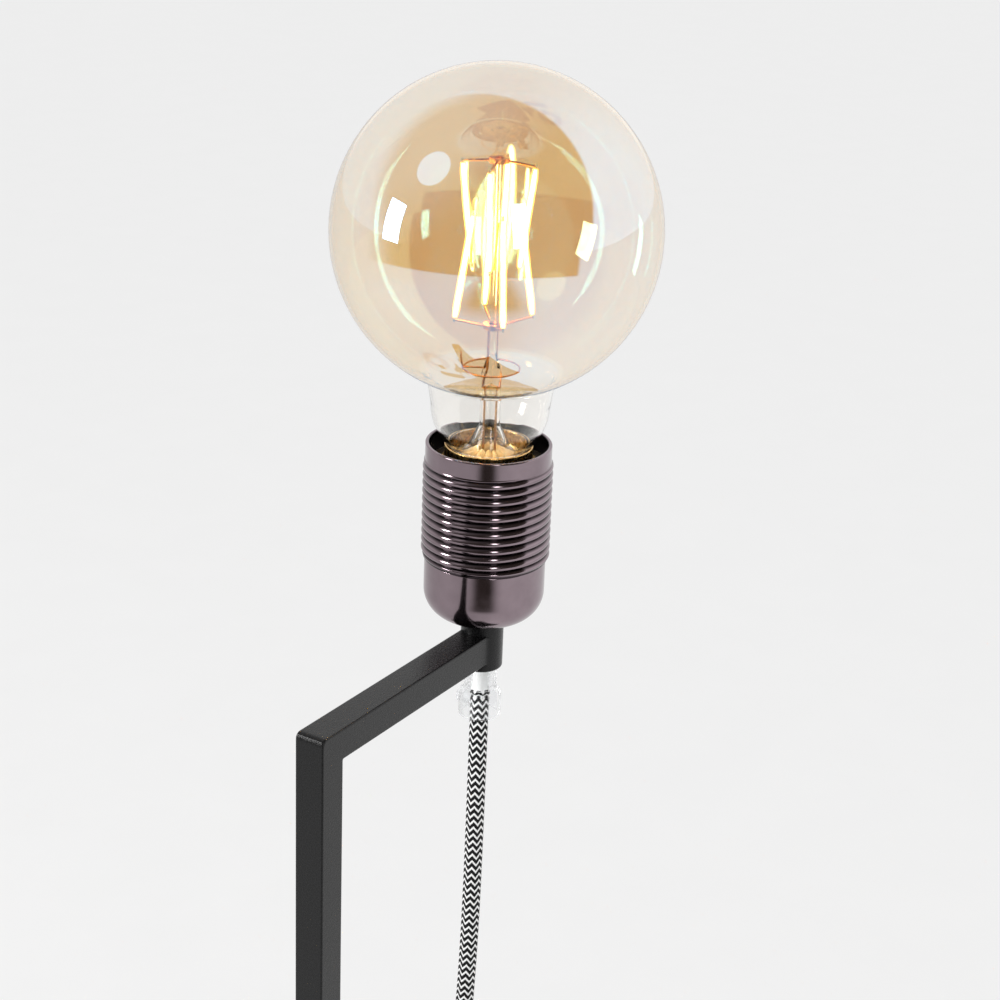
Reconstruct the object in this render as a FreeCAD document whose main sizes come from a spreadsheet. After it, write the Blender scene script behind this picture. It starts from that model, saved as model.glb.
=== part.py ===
import FreeCAD, Part
import math
import os
import re
import Sketcher
from FreeCAD import Rotation, Vector

# Table lamp: a square steel bar bent by a mitre into a post and an arm, a threaded boss at the end
# of the arm, a screw-shell lamp holder standing on the boss with a clear globe bulb in it, and a
# textile cord that hangs from a clear grip under the boss.
# Frame: millimetres, +Z up, the origin under the middle of the base on the table, +X from the post
# towards the lamp holder.

SIZES = {
    # base
    "plate_length": 150.0,
    "plate_width": 110.0,
    "plate_thickness": 6.0,
    "plate_corner": 4.0,
    "plate_bevel": 0.8,
    "pad_thickness": 2.0,
    "pad_inset": 4.0,
    # bar frame
    "bar_side": 9.5,
    "frame_height": 250.0,
    "reach": 82.0,
    "corner_round": 3.0,
    "post_setback": 19.0,
    "screw_diameter": 4.0,
    "screw_head": 7.6,
    "screw_length": 22.0,
    "socket_diameter": 2.6,
    "socket_depth": 1.2,
    "screw_clearance": 0.2,
    "screw_spare": 1.0,
    "pin_diameter": 2.0,
    "pin_length": 8.0,
    "pin_offset": 3.0,
    "thread_clearance": 0.05,
    # boss and nipple
    "boss_diameter": 13.0,
    "boss_length": 17.0,
    "boss_proud": 4.0,
    "boss_edge": 0.4,
    "thread_size": 10.0,
    "nipple_bore": 7.2,
    "nipple_seat": 8.0,
    "nut_flats": 14.0,
    "nut_thickness": 3.0,
    "nipple_spare": 1.0,
    # lamp holder
    "holder_height": 55.5,
    "dome_height": 19.5,
    "dome_diameter": 36.4,
    "dome_corner": 9.0,
    "dome_wall": 1.1,
    "collar_diameter": 15.0,
    "collar_height": 5.0,
    "shell_diameter": 37.4,
    "shell_wall": 1.1,
    "shell_edge": 0.35,
    "band_height": 5.0,
    "spigot_length": 6.0,
    "ridge_pitch": 2.55,
    "ridge_foot": 1.7,
    "ridge_rise": 0.6,
    "fit_gap": 0.1,
    "insert_depth": 5.0,
    "insert_flange": 3.0,
    "insert_pedestal": 3.0,
    "pedestal_diameter": 21.0,
    "liner_drop": 6.0,
    "sleeve_proud": 1.1,
    "sleeve_wall": 0.8,
    "terminal_spread": 9.0,
    "terminal_head": 5.0,
    "terminal_shank": 2.8,
    "terminal_rise": 2.2,
    "terminal_depth": 5.0,
    "contact_strip": 0.5,
    "contact_width": 5.0,
    "contact_rise": 1.4,
    "wire_diameter": 2.0,
    "wire_spacing": 2.6,
    # bulb
    "globe_diameter": 95.0,
    "globe_height": 63.5,
    "glass_wall": 0.9,
    "throat_radius": 18.9,
    "bowl_radius": 17.5,
    "bowl_lift": 0.15,
    "neck_gap": 0.2,
    "neck_insert": 5.0,
    "cap_length": 27.0,
    "cap_top_drop": 0.5,
    "cap_root": 12.05,
    "cap_wall": 0.5,
    "cap_skirt": 13.1,
    "skirt_length": 6.0,
    "cap_foot": 5.0,
    "cap_ridge": 1.0,
    "screw_pitch": 3.629,
    "thread_lead": 1.6,
    "sleeve_start": 3.0,
    "screw_gap": 0.35,
    "button_diameter": 9.6,
    "button_height": 1.6,
    "insulator_foot": 0.7,
    "insulator_top": 21.0,
    "insulator_taper": 2.0,
    "insulator_rim": 1.0,
    "stem_radius": 3.0,
    "stem_height": 26.0,
    "stem_press": 3.0,
    "stem_waist": 6.0,
    "rod_radius": 1.2,
    "star_height": 84.0,
    "star_ring": 2.9,
    "support_wire": 0.7,
    "filament_diameter": 1.8,
    "upper_top_radius": 10.5,
    "upper_top_height": 82.5,
    "upper_foot_radius": 7.0,
    "upper_foot_height": 53.5,
    "lower_top_radius": 7.0,
    "lower_top_height": 68.5,
    "lower_foot_radius": 11.5,
    "lower_foot_height": 38.5,
    "upper_turn": -71.4,
    "lower_turn": -44.1,
    "foot_star_height": 35.5,
    "lead_spacing": 4.8,
    "getter_reach": 8.2,
    "getter_turn": 121.3,
    "getter_side": 3.4,
    "board_thickness": 1.2,
    "board_width": 17.0,
    "board_room": 2.0,
    "capacitor_diameter": 7.0,
    "capacitor_length": 9.0,
    # cord grip
    "grip_diameter": 13.0,
    "grip_height": 8.0,
    "grip_neck": 8.5,
    "grip_seat": 5.0,
    "grip_pitch": 1.25,
    "grip_ridge": 0.5,
    "cord_diameter": 5.8,
    "cord_clearance": 0.2,
    "clamp_diameter": 4.0,
    "clamp_proud": 1.0,
    # in-line switch
    "switch_x": 47.0,
    "switch_y": 118.0,
    "switch_length": 60.0,
    "switch_width": 26.0,
    "switch_corner": 10.0,
    "switch_split": 8.0,
    "switch_height": 18.0,
    "switch_edge": 1.6,
    "cavity_length": 44.0,
    "cavity_width": 13.0,
    "floor_thickness": 2.0,
    "rocker_length": 19.2,
    "rocker_width": 10.0,
    "rocker_drop": 1.5,
    "rocker_rise": 5.4,
    "rocker_dip": 3.6,
    "rocker_tilt": 9.0,
    "rocker_gap": 0.4,
    "pivot_height": 14.0,
    "pivot_diameter": 2.0,
    "pivot_length": 17.0,
    "pivot_clearance": 0.06,
    "joint_screw": 2.6,
    "joint_head": 5.0,
    "joint_head_depth": 2.0,
    "joint_length": 12.0,
    "joint_x": 9.5,
    "joint_y": 18.0,
    "terminal_length": 8.0,
    "terminal_height": 4.0,
    "terminal_setback": 3.0,
    "blade_thickness": 0.6,
    # plug
    "plug_turn": 0.0,
    "plug_x": -40.0,
    "plug_y": 75.5,
    "plug_length": 36.0,
    "plug_width": 35.0,
    "plug_tail": 16.0,
    "plug_thickness": 13.8,
    "plug_edge": 2.5,
    "boot_length": 18.0,
    "boot_foot": 10.0,
    "boot_end": 7.4,
    "prong_diameter": 4.0,
    "prong_length": 19.0,
    "prong_core": 3.0,
    "prong_root": 12.0,
    "prong_spacing": 18.6,
    "sheath_length": 10.0,
    # coil
    "coil_x": -31.0,
    "coil_y": 141.0,
    "coil_radius": 42.0,
    "coil_step": 6.5,
    "coil_layer": 6.5,
    "coil_rest": 1.0,
    "coil_start": 90.0,
    "coil_end": 2340.0,
    "coil_lead": 18.0,
    "tie_turn": -20.0,
    "tie_width": 12.0,
    "tie_thickness": 0.7,
    "tie_clearance": 0.2,
}

doc = FreeCAD.newDocument("table_lamp")
sheet = doc.addObject("Spreadsheet::Sheet", "sizes")
for row, (alias, size) in enumerate(SIZES.items(), start=1):
    sheet.set(f"A{row}", alias)
    sheet.set(f"B{row}", str(size))
    sheet.setAlias(f"B{row}", alias)
doc.recompute()

PIECES = []


def bound(text):
    """The text with every size name written as a cell of the sheet."""
    return re.sub(
        r"[a-z_]+",
        lambda word: "sizes." + word.group() if word.group() in SIZES else word.group(),
        str(text),
    )


def number(text):
    """The present value of a formula of sizes."""
    return float(sheet.evalExpression(bound(text)))


def keep(piece, label):
    """Name a finished piece and put it on the list that is written out."""
    piece.Label = label
    PIECES.append(piece)
    return piece


def place(piece, x="0", y="0", z="0"):
    """Bind the place of a piece to formulas of sizes."""
    for key, text in (("x", x), ("y", y), ("z", z)):
        piece.setExpression("Placement.Base." + key, bound(text))


def plane(body, role):
    """One of the origin planes of a body."""
    return next(item for item in body.Origin.OriginFeatures if item.Role == role)


def draw(body, role, corners, shift="0", lift="0"):
    """A closed outline through corners (x, y), each side straight to the next corner.

    A corner (x, y, radius, side) starts an arc to the next corner, with its centre on the left of
    the way for side 1 and on the right for side -1.
    """
    sketch = body.newObject("Sketcher::SketchObject", "outline")
    sketch.AttachmentSupport = [(plane(body, role), "")]
    sketch.MapMode = "FlatFace"
    if shift != "0":
        sketch.setExpression("AttachmentOffset.Base.x", bound(shift))
    if lift != "0":
        sketch.setExpression("AttachmentOffset.Base.z", bound(lift))
    points = [Vector(number(corner[0]), number(corner[1]), 0) for corner in corners]
    ends = []
    for index, corner in enumerate(corners):
        start = points[index]
        stop = points[(index + 1) % len(points)]
        if len(corner) == 2:
            sketch.addGeometry(Part.LineSegment(start, stop))
            ends.append((1, 2))
            continue
        radius = number(corner[2])
        side = corner[3]
        chord = stop - start
        rise = math.sqrt(max(radius ** 2 - chord.Length ** 2 / 4, 0.0))
        left = Vector(-chord.y, chord.x, 0).normalize()
        centre = (start + stop) * 0.5 + left * (side * rise)
        circle = Part.Circle(centre, Vector(0, 0, 1), radius)
        first, last = (start, stop) if side > 0 else (stop, start)
        begin = math.atan2(first.y - centre.y, first.x - centre.x)
        finish = math.atan2(last.y - centre.y, last.x - centre.x)
        sketch.addGeometry(Part.ArcOfCircle(circle, begin, finish + (0 if finish > begin else 2 * math.pi)))
        ends.append((1, 2) if side > 0 else (2, 1))
    for index in range(len(corners)):
        after = (index + 1) % len(corners)
        sketch.addConstraint(
            Sketcher.Constraint("Coincident", index, ends[index][1], after, ends[after][0])
        )
    for index, corner in enumerate(corners):
        for kind, axis, text in (("DistanceX", -2, corner[0]), ("DistanceY", -1, corner[1])):
            here = ends[index][0]
            if text == "0":
                sketch.addConstraint(Sketcher.Constraint("PointOnObject", index, here, axis))
                continue
            item = sketch.addConstraint(Sketcher.Constraint(kind, -1, 1, index, here, number(text)))
            sketch.setExpression(f"Constraints[{item}]", bound(text))
        if len(corner) == 4:
            item = sketch.addConstraint(Sketcher.Constraint("Radius", index, number(corner[2])))
            sketch.setExpression(f"Constraints[{item}]", bound(corner[2]))
    return sketch


def ring(body, role, x, y, radius, lift="0"):
    """A circle with a bound centre and radius."""
    sketch = body.newObject("Sketcher::SketchObject", "circle")
    sketch.AttachmentSupport = [(plane(body, role), "")]
    sketch.MapMode = "FlatFace"
    if lift != "0":
        sketch.setExpression("AttachmentOffset.Base.z", bound(lift))
    middle = Vector(number(x), number(y), 0)
    sketch.addGeometry(Part.Circle(middle, Vector(0, 0, 1), number(radius)))
    for kind, axis, text in (("DistanceX", -2, x), ("DistanceY", -1, y)):
        if text == "0":
            sketch.addConstraint(Sketcher.Constraint("PointOnObject", 0, 3, axis))
            continue
        item = sketch.addConstraint(Sketcher.Constraint(kind, -1, 1, 0, 3, number(text)))
        sketch.setExpression(f"Constraints[{item}]", bound(text))
    item = sketch.addConstraint(Sketcher.Constraint("Radius", 0, number(radius)))
    sketch.setExpression(f"Constraints[{item}]", bound(radius))
    return sketch


def boxed(length, width, corner):
    """The corners of a rounded rectangle about the origin."""
    x = f"({length}) / 2"
    y = f"({width}) / 2"
    return [
        (f"-{x} + {corner}", f"-{y}"),
        (f"{x} - {corner}", f"-{y}", corner, 1),
        (f"{x}", f"-{y} + {corner}"),
        (f"{x}", f"{y} - {corner}", corner, 1),
        (f"{x} - {corner}", f"{y}"),
        (f"-{x} + {corner}", f"{y}", corner, 1),
        (f"-{x}", f"{y} - {corner}"),
        (f"-{x}", f"-{y} + {corner}", corner, 1),
    ]


def new_body(name):
    return doc.addObject("PartDesign::Body", name)


def pad(body, sketch, length, middle=False):
    """Thicken an outline along its normal, or half to each side."""
    feature = body.newObject("PartDesign::Pad", "pad")
    feature.Profile = sketch
    feature.setExpression("Length", bound(length))
    feature.Midplane = middle
    return feature


def cut(body, sketch, length, middle=False, forward=False):
    """Cut an outline out of a body and check that something went."""
    doc.recompute()
    before = body.Shape.Volume
    feature = body.newObject("PartDesign::Pocket", "cut")
    feature.Profile = sketch
    feature.setExpression("Length", bound(length))
    feature.Midplane = middle
    feature.Reversed = forward
    doc.recompute()
    if body.Shape.Volume > before - 1e-3:
        raise RuntimeError("nothing was cut from " + body.Name)
    return feature


def spin(body, sketch, axis="V_Axis"):
    """Turn an outline about an axis of its own sketch, the upright one unless named."""
    feature = body.newObject("PartDesign::Revolution", "turn")
    feature.Profile = sketch
    feature.ReferenceAxis = (sketch, [axis])
    feature.Angle = 360
    return feature


def bore(body, sketch):
    """Cut an outline, turned about its upright axis, out of a body and check that something went."""
    doc.recompute()
    before = body.Shape.Volume
    feature = body.newObject("PartDesign::Groove", "bore")
    feature.Profile = sketch
    feature.ReferenceAxis = (sketch, ["V_Axis"])
    feature.Angle = 360
    doc.recompute()
    if body.Shape.Volume > before - 1e-3:
        raise RuntimeError("nothing was bored from " + body.Name)
    return feature


def turned(label, corners, x="0", y="0", z="0"):
    """A turned piece: an outline of (radius, height) corners spun about the upright axis."""
    body = new_body(label)
    spin(body, draw(body, "XZ_Plane", corners))
    place(body, x, y, z)
    return keep(body, label)


def thread(body, corners, pitch, turns):
    """A right-handed screw ridge with the given section, wound round the upright axis."""
    feature = body.newObject("PartDesign::AdditiveHelix", "ridge")
    feature.Profile = draw(body, "XZ_Plane", corners)
    feature.ReferenceAxis = (feature.Profile[0], ["V_Axis"])
    feature.Mode = 0
    feature.setExpression("Pitch", bound(pitch))
    feature.setExpression("Height", bound(f"({pitch}) * ({turns})"))
    return feature


def soften(body, kind, size, pick):
    """Round or bevel the edges of a body that pick chooses."""
    doc.recompute()
    base = body.Tip
    names = [f"Edge{i}" for i, edge in enumerate(base.Shape.Edges, start=1) if pick(edge)]
    feature = body.newObject("PartDesign::" + kind, "edges")
    feature.Base = (base, names)
    feature.setExpression("Radius" if kind == "Fillet" else "Size", bound(size))
    body.Tip = feature
    return feature


def level(height):
    """Picks the edges that lie flat at a height of the body's own frame."""
    return lambda edge: all(abs(vertex.Z - height) < 1e-6 for vertex in edge.Vertexes)


def stick(name, start, stop, diameter):
    """A round bar between two points."""
    bar = doc.addObject("Part::Cylinder", name)
    bar.setExpression("Radius", bound(f"{diameter} / 2"))
    bar.Height = (stop - start).Length
    bar.Placement = FreeCAD.Placement(start, Rotation(Vector(0, 0, 1), stop - start))
    return bar


def group(label, members):
    """Like pieces that share one node, each still a solid of its own."""
    compound = doc.addObject("Part::Compound", label)
    compound.Links = members
    return keep(compound, label)


AXIS = "(post_setback - plate_length / 2 + reach)"
POST_X = "(post_setback - plate_length / 2)"
PLATE_TOP = "(pad_thickness + plate_thickness)"
BOSS_TOP = "(frame_height + boss_proud)"
SHELL_FOOT = f"({BOSS_TOP} + dome_height)"
SEAT = f"({SHELL_FOOT} + shell_wall)"
PEDESTAL_TOP = f"({SEAT} + insert_flange + insert_pedestal)"
TIP = f"({PEDESTAL_TOP} + contact_rise)"
BULB = f"({TIP} + cap_length + cap_top_drop)"
SKIRT_FOOT = "(cap_length - skirt_length)"
BORE = "(thread_size / 2 + thread_clearance)"

# Base plate: one steel plate, bevelled round its top, drilled for the post's screw from below with
# a countersink, and for the pin that stops the post from turning.
plate = new_body("base_plate")
pad(plate, draw(plate, "XY_Plane", boxed("plate_length", "plate_width", "plate_corner")), "plate_thickness")
soften(plate, "Chamfer", "plate_bevel", level(number("plate_thickness")))
bore(plate, draw(plate, "XZ_Plane", [
    ("0", "0"),
    ("screw_head / 2 + screw_clearance", "0"),
    ("screw_diameter / 2 + screw_clearance", "(screw_head - screw_diameter) / 2"),
    ("screw_diameter / 2 + screw_clearance", "plate_thickness"),
    ("0", "plate_thickness"),
], shift=POST_X))
cut(plate, ring(plate, "XY_Plane", f"{POST_X} + pin_offset", "pin_offset", "pin_diameter / 2 + thread_clearance",
                lift="plate_thickness"), "pin_length / 2 + screw_clearance")
place(plate, z="pad_thickness")
keep(plate, "base_plate")

# Pad: a felt sheet glued under the plate, which covers the screw's head.
felt = new_body("base_pad")
pad(felt, draw(felt, "XY_Plane", boxed("plate_length - 2 * pad_inset", "plate_width - 2 * pad_inset",
                                       "plate_corner")), "pad_thickness")
keep(felt, "base_pad")

# Post: a square bar, cut to a mitre at its top with the outer corner ground round, tapped in its
# foot for the screw and drilled for the pin.
HALF = "bar_side / 2"
POST_LENGTH = f"(frame_height - {PLATE_TOP})"
MITRE = "corner_round * (1 - sqrt(0.5))"
post = new_body("post")
pad(post, draw(post, "XZ_Plane", [
    (f"-{HALF}", "0"),
    (HALF, "0"),
    (HALF, f"{POST_LENGTH} - bar_side"),
    (f"-{HALF} + {MITRE}", f"{POST_LENGTH} - {MITRE}", "corner_round", 1),
    (f"-{HALF}", f"{POST_LENGTH} - corner_round"),
]), "bar_side", middle=True)
bore(post, draw(post, "XZ_Plane", [
    ("0", "0"),
    ("screw_diameter / 2 + thread_clearance", "0"),
    ("screw_diameter / 2 + thread_clearance", "screw_length - plate_thickness + screw_spare"),
    ("0", "screw_length - plate_thickness + screw_spare"),
]))
cut(post, ring(post, "XY_Plane", "pin_offset", "pin_offset", "pin_diameter / 2 + thread_clearance"),
    "pin_length / 2 + screw_clearance", forward=True)
place(post, POST_X, "0", PLATE_TOP)
keep(post, "post")

# Countersunk screw that pulls the post down on the plate, with a socket for its key.
turned("post_screw", [
    ("0", "socket_depth"),
    ("socket_diameter / 2", "socket_depth"),
    ("socket_diameter / 2", "0"),
    ("screw_head / 2", "0"),
    ("screw_diameter / 2", "(screw_head - screw_diameter) / 2"),
    ("screw_diameter / 2", "screw_length"),
    ("0", "screw_length"),
], POST_X, "0", "pad_thickness")

# Dowel pin beside the screw, half in the plate and half in the post.
turned("post_pin", [
    ("0", "0"),
    ("pin_diameter / 2", "0"),
    ("pin_diameter / 2", "pin_length"),
    ("0", "pin_length"),
], f"{POST_X} + pin_offset", "pin_offset", f"{PLATE_TOP} - pin_length / 2")

# Arm: the same bar, mitred to the post and coped round the boss, where it is welded.
arm = new_body("arm")
pad(arm, draw(arm, "XZ_Plane", [
    (HALF, "-bar_side"),
    ("reach", "-bar_side"),
    ("reach", "0"),
    (f"-{HALF} + corner_round", "0", "corner_round", 1),
    (f"-{HALF} + {MITRE}", f"-{MITRE}"),
]), "bar_side", middle=True)
cut(arm, ring(arm, "XY_Plane", "reach", "0", "boss_diameter / 2"), "bar_side * 4", middle=True)
place(arm, POST_X, "0", "frame_height")
keep(arm, "arm")

# Boss: a turned bush with a through thread, welded to the end of the arm.
turned("boss", [
    (BORE, "0"),
    ("boss_diameter / 2 - boss_edge", "0"),
    ("boss_diameter / 2", "boss_edge"),
    ("boss_diameter / 2", "boss_length"),
    (BORE, "boss_length"),
], AXIS, "0", f"{BOSS_TOP} - boss_length")

# Nipple: a hollow threaded tube that joins the boss and the lamp holder and lets the wires through.
NIPPLE_RISE = "(collar_height + nut_thickness + nipple_spare)"
turned("nipple", [
    ("nipple_bore / 2", "0"),
    ("thread_size / 2", "0"),
    ("thread_size / 2", f"nipple_seat + {NIPPLE_RISE}"),
    ("nipple_bore / 2", f"nipple_seat + {NIPPLE_RISE}"),
], AXIS, "0", f"{BOSS_TOP} - nipple_seat")

# Nut on the nipple inside the dome, which clamps the dome to the boss.
nut = new_body("holder_nut")
FLAT = "nut_flats / 2"
POINT = "nut_flats / sqrt(12)"
pad(nut, draw(nut, "XY_Plane", [
    (FLAT, f"-{POINT}"),
    (FLAT, POINT),
    ("0", f"2 * {POINT}"),
    (f"-{FLAT}", POINT),
    (f"-{FLAT}", f"-{POINT}"),
    ("0", f"-2 * {POINT}"),
]), "nut_thickness")
cut(nut, ring(nut, "XY_Plane", "0", "0", BORE), "nut_thickness", forward=True)
place(nut, AXIS, "0", f"{BOSS_TOP} + collar_height")
keep(nut, "holder_nut")

# Dome: the spun metal cap of the lamp holder, with a round corner and a threaded collar inside.
DOME = "dome_diameter / 2"
turned("holder_dome", [
    (BORE, "0"),
    (f"{DOME} - dome_corner", "0", "dome_corner", 1),
    (DOME, "dome_corner"),
    (DOME, "dome_height"),
    (f"{DOME} - dome_wall", "dome_height"),
    (f"{DOME} - dome_wall", "dome_corner", "dome_corner - dome_wall", -1),
    (f"{DOME} - dome_corner", "dome_wall"),
    ("collar_diameter / 2", "dome_wall"),
    ("collar_diameter / 2", "collar_height"),
    (BORE, "collar_height"),
], AXIS, "0", BOSS_TOP)

# Shell: the metal sleeve with a plain band at its rim, a rolled screw ridge below it for a shade
# ring, and a spigot that screws into the dome.
SHELL_HEIGHT = "(holder_height - dome_height)"
SHELL = "shell_diameter / 2"
SPIGOT = f"({DOME} - dome_wall - thread_clearance)"
shell = new_body("holder_shell")
spin(shell, draw(shell, "XZ_Plane", [
    (f"{SPIGOT} - shell_wall", "-spigot_length"),
    (SPIGOT, "-spigot_length"),
    (SPIGOT, "0"),
    (SHELL, "0"),
    (SHELL, f"{SHELL_HEIGHT} - shell_edge", "shell_edge", 1),
    (f"{SHELL} - shell_edge", SHELL_HEIGHT),
    (f"{SHELL} - shell_wall", SHELL_HEIGHT),
    (f"{SHELL} - shell_wall", "shell_wall"),
    (f"{SPIGOT} - shell_wall", "shell_wall"),
]))
RIDGE_TURNS = f"(({SHELL_HEIGHT} - band_height - ridge_foot) / ridge_pitch - 0.5)"
thread(shell, [
    (f"{SHELL} - shell_wall / 3", "ridge_foot - ridge_pitch * 0.42"),
    (f"{SHELL} + ridge_rise", "ridge_foot - ridge_pitch * 0.14"),
    (f"{SHELL} + ridge_rise", "ridge_foot + ridge_pitch * 0.14"),
    (f"{SHELL} - shell_wall / 3", "ridge_foot + ridge_pitch * 0.42"),
], "ridge_pitch", RIDGE_TURNS)
place(shell, AXIS, "0", SHELL_FOOT)
keep(shell, "holder_shell")

# Insert: the moulded block that carries the contacts. Its flange rests on the shell's shoulder.
FLANGE = f"({SHELL} - shell_wall - fit_gap)"
insert = new_body("holder_insert")
spin(insert, draw(insert, "XZ_Plane", [
    ("0", "-insert_depth"),
    (f"{SPIGOT} - shell_wall - fit_gap", "-insert_depth"),
    (f"{SPIGOT} - shell_wall - fit_gap", "0"),
    (FLANGE, "0"),
    (FLANGE, "insert_flange"),
    ("pedestal_diameter / 2", "insert_flange"),
    ("pedestal_diameter / 2", "insert_flange + insert_pedestal"),
    ("0", "insert_flange + insert_pedestal"),
]))
for side in ("", "-"):
    cut(insert, ring(insert, "XY_Plane", f"{side}terminal_spread", "0",
                     "terminal_shank / 2 + thread_clearance", lift="-insert_depth"),
        "terminal_depth + screw_clearance", forward=True)
place(insert, AXIS, "0", SEAT)
keep(insert, "holder_insert")

# Liner: the black insulating sleeve between the shell and the live screw sleeve.
SLEEVE_BORE = "(cap_root + cap_ridge + screw_gap)"
SLEEVE = f"({SLEEVE_BORE} + sleeve_wall)"
LINER_HEIGHT = f"({SHELL_HEIGHT} - shell_wall - insert_flange - liner_drop)"
turned("holder_liner", [
    (f"{SLEEVE} + fit_gap", "0"),
    (FLANGE, "0"),
    (FLANGE, LINER_HEIGHT),
    (f"{SLEEVE} + fit_gap", LINER_HEIGHT),
], AXIS, "0", f"{SEAT} + insert_flange")

# Screw sleeve: the brass thread that takes the bulb, standing on the insert's flange and reaching a
# little past the foot of the bulb cap's plain skirt.
TIP_RISE = "(insert_pedestal + contact_rise)"
sleeve = new_body("screw_sleeve")
spin(sleeve, draw(sleeve, "XZ_Plane", [
    (SLEEVE_BORE, "0"),
    (SLEEVE, "0"),
    (SLEEVE, f"{TIP_RISE} + {SKIRT_FOOT} + sleeve_proud"),
    (SLEEVE_BORE, f"{TIP_RISE} + {SKIRT_FOOT} + sleeve_proud"),
]))
SLEEVE_RIDGE = f"({TIP_RISE} + sleeve_start)"
thread(sleeve, [
    (f"{SLEEVE_BORE} + sleeve_wall / 3", f"{SLEEVE_RIDGE} - screw_pitch * 0.25"),
    (f"{SLEEVE_BORE} + sleeve_wall / 3", f"{SLEEVE_RIDGE} + screw_pitch * 0.25"),
    (f"{SLEEVE_BORE} - cap_ridge", f"{SLEEVE_RIDGE} + screw_pitch * 0.1"),
    (f"{SLEEVE_BORE} - cap_ridge", f"{SLEEVE_RIDGE} - screw_pitch * 0.1"),
], "screw_pitch", f"({SKIRT_FOOT} - sleeve_start - thread_lead) / screw_pitch")
place(sleeve, AXIS, "0", f"{SEAT} + insert_flange")
keep(sleeve, "screw_sleeve")

# Centre contact: a bent brass strip on the insert that presses up against the bulb's button.
LEAF = "(contact_rise - fit_gap)"
contact = new_body("centre_contact")
pad(contact, draw(contact, "XZ_Plane", [
    ("-pedestal_diameter * 0.4", "0"),
    ("-pedestal_diameter * 0.2", "0"),
    ("-button_diameter * 0.2", f"{LEAF} - contact_strip"),
    ("button_diameter * 0.25", f"{LEAF} - contact_strip"),
    ("button_diameter * 0.25", LEAF),
    ("-button_diameter * 0.2 - contact_strip / 2", LEAF),
    ("-pedestal_diameter * 0.2 - contact_strip / 2", "contact_strip"),
    ("-pedestal_diameter * 0.4", "contact_strip"),
]), "contact_width", middle=True)
place(contact, AXIS, "0", PEDESTAL_TOP)
keep(contact, "centre_contact")

# Terminal screws: two brass screws in the underside of the insert that clamp the wires.
terminals = []
for side in ("", "-"):
    screw = new_body("terminal_screw")
    spin(screw, draw(screw, "XZ_Plane", [
        ("0", "-terminal_rise"),
        ("terminal_head / 2", "-terminal_rise"),
        ("terminal_head / 2", "0"),
        ("terminal_shank / 2", "0"),
        ("terminal_shank / 2", "terminal_depth"),
        ("0", "terminal_depth"),
    ]))
    place(screw, f"{AXIS} {'+' if side == '' else '-'} terminal_spread", "0", f"{SEAT} - insert_depth")
    terminals.append(screw)
group("terminal_screws", terminals)


def rounded_path(points):
    """Edges through points: straight runs and tangent arcs as large as the shorter run allows."""
    edges = []
    radii = []
    here = points[0]
    for before, corner, after in zip(points, points[1:], points[2:]):
        back = (before - corner)
        ahead = (after - corner)
        run = 0.45 * min(back.Length, ahead.Length)
        back.normalize()
        ahead.normalize()
        turn = math.pi - back.getAngle(ahead)
        radius = run / math.tan(turn / 2)
        radii.append(radius)
        inward = (back + ahead).normalize()
        middle = corner + inward * (radius / math.cos(turn / 2) - radius)
        edges.append(Part.LineSegment(here, corner + back * run).toShape())
        edges.append(Part.Arc(corner + back * run, middle, corner + ahead * run).toShape())
        here = corner + ahead * run
    edges.append(Part.LineSegment(here, points[-1]).toShape())
    return edges, radii


def tube(label, edges, diameter, note=""):
    """A round tube along a chain of edges, its volume compared with section times length."""
    wire = Part.Wire(edges)
    start = edges[0].valueAt(edges[0].FirstParameter)
    ahead = edges[0].tangentAt(edges[0].FirstParameter)
    section = Part.Wire(Part.Circle(start, ahead, diameter / 2).toShape())
    solid = Part.Wire(wire).makePipeShell([section], True, False)
    should = math.pi * diameter ** 2 / 4 * wire.Length
    print(f"{label}: length {wire.Length:.1f}, volume {solid.Volume / should:.5f} of section by length {note}")
    feature = doc.addObject("Part::Feature", label)
    feature.Shape = solid
    return keep(feature, label), wire


# Wires: the two cores of the cord, from its end in the grip up through the nipple, then out to the
# terminal screws.
axis_x = number(AXIS)
core_foot = number(f"{BOSS_TOP} - boss_length + grip_seat")
clamp_top = number(f"{SEAT} - insert_depth - wire_diameter / 2 - fit_gap")
for name, side in (("live_wire", 1), ("neutral_wire", -1)):
    near = axis_x + side * number("wire_spacing") / 2
    far = axis_x + side * number("terminal_spread - terminal_head / 2 - fit_gap")
    route = [
        Vector(near, 0, core_foot),
        Vector(near, 0, clamp_top),
        Vector(far, 0, clamp_top),
    ]
    tube(name, rounded_path(route)[0], number("wire_diameter"))

# Cord grip: a clear moulded clamp that screws into the boss from below, bored for the cord.
GRIP_LENGTH = "(grip_height + grip_neck + grip_seat)"
CORD_BORE = "(cord_diameter / 2 + cord_clearance)"
grip = new_body("cord_grip")
spin(grip, draw(grip, "XZ_Plane", [
    (CORD_BORE, "0"),
    ("grip_diameter / 2 - boss_edge", "0"),
    ("grip_diameter / 2", "boss_edge"),
    ("grip_diameter / 2", "grip_height - boss_edge"),
    ("grip_diameter / 2 - boss_edge", "grip_height"),
    ("thread_size / 2 - grip_ridge", "grip_height"),
    ("thread_size / 2 - grip_ridge", GRIP_LENGTH),
    (CORD_BORE, GRIP_LENGTH),
]))
thread(grip, [
    ("thread_size / 2 - 1.5 * grip_ridge", "grip_height + grip_pitch * 0.1"),
    ("thread_size / 2", "grip_height + grip_pitch * 0.4"),
    ("thread_size / 2", "grip_height + grip_pitch * 0.6"),
    ("thread_size / 2 - 1.5 * grip_ridge", "grip_height + grip_pitch * 0.9"),
], "grip_pitch", "(grip_neck + grip_seat) / grip_pitch - 1")
cut(grip, ring(grip, "XZ_Plane", "0", "grip_height / 2", "clamp_diameter / 2 + thread_clearance"),
    "grip_diameter")
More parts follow.
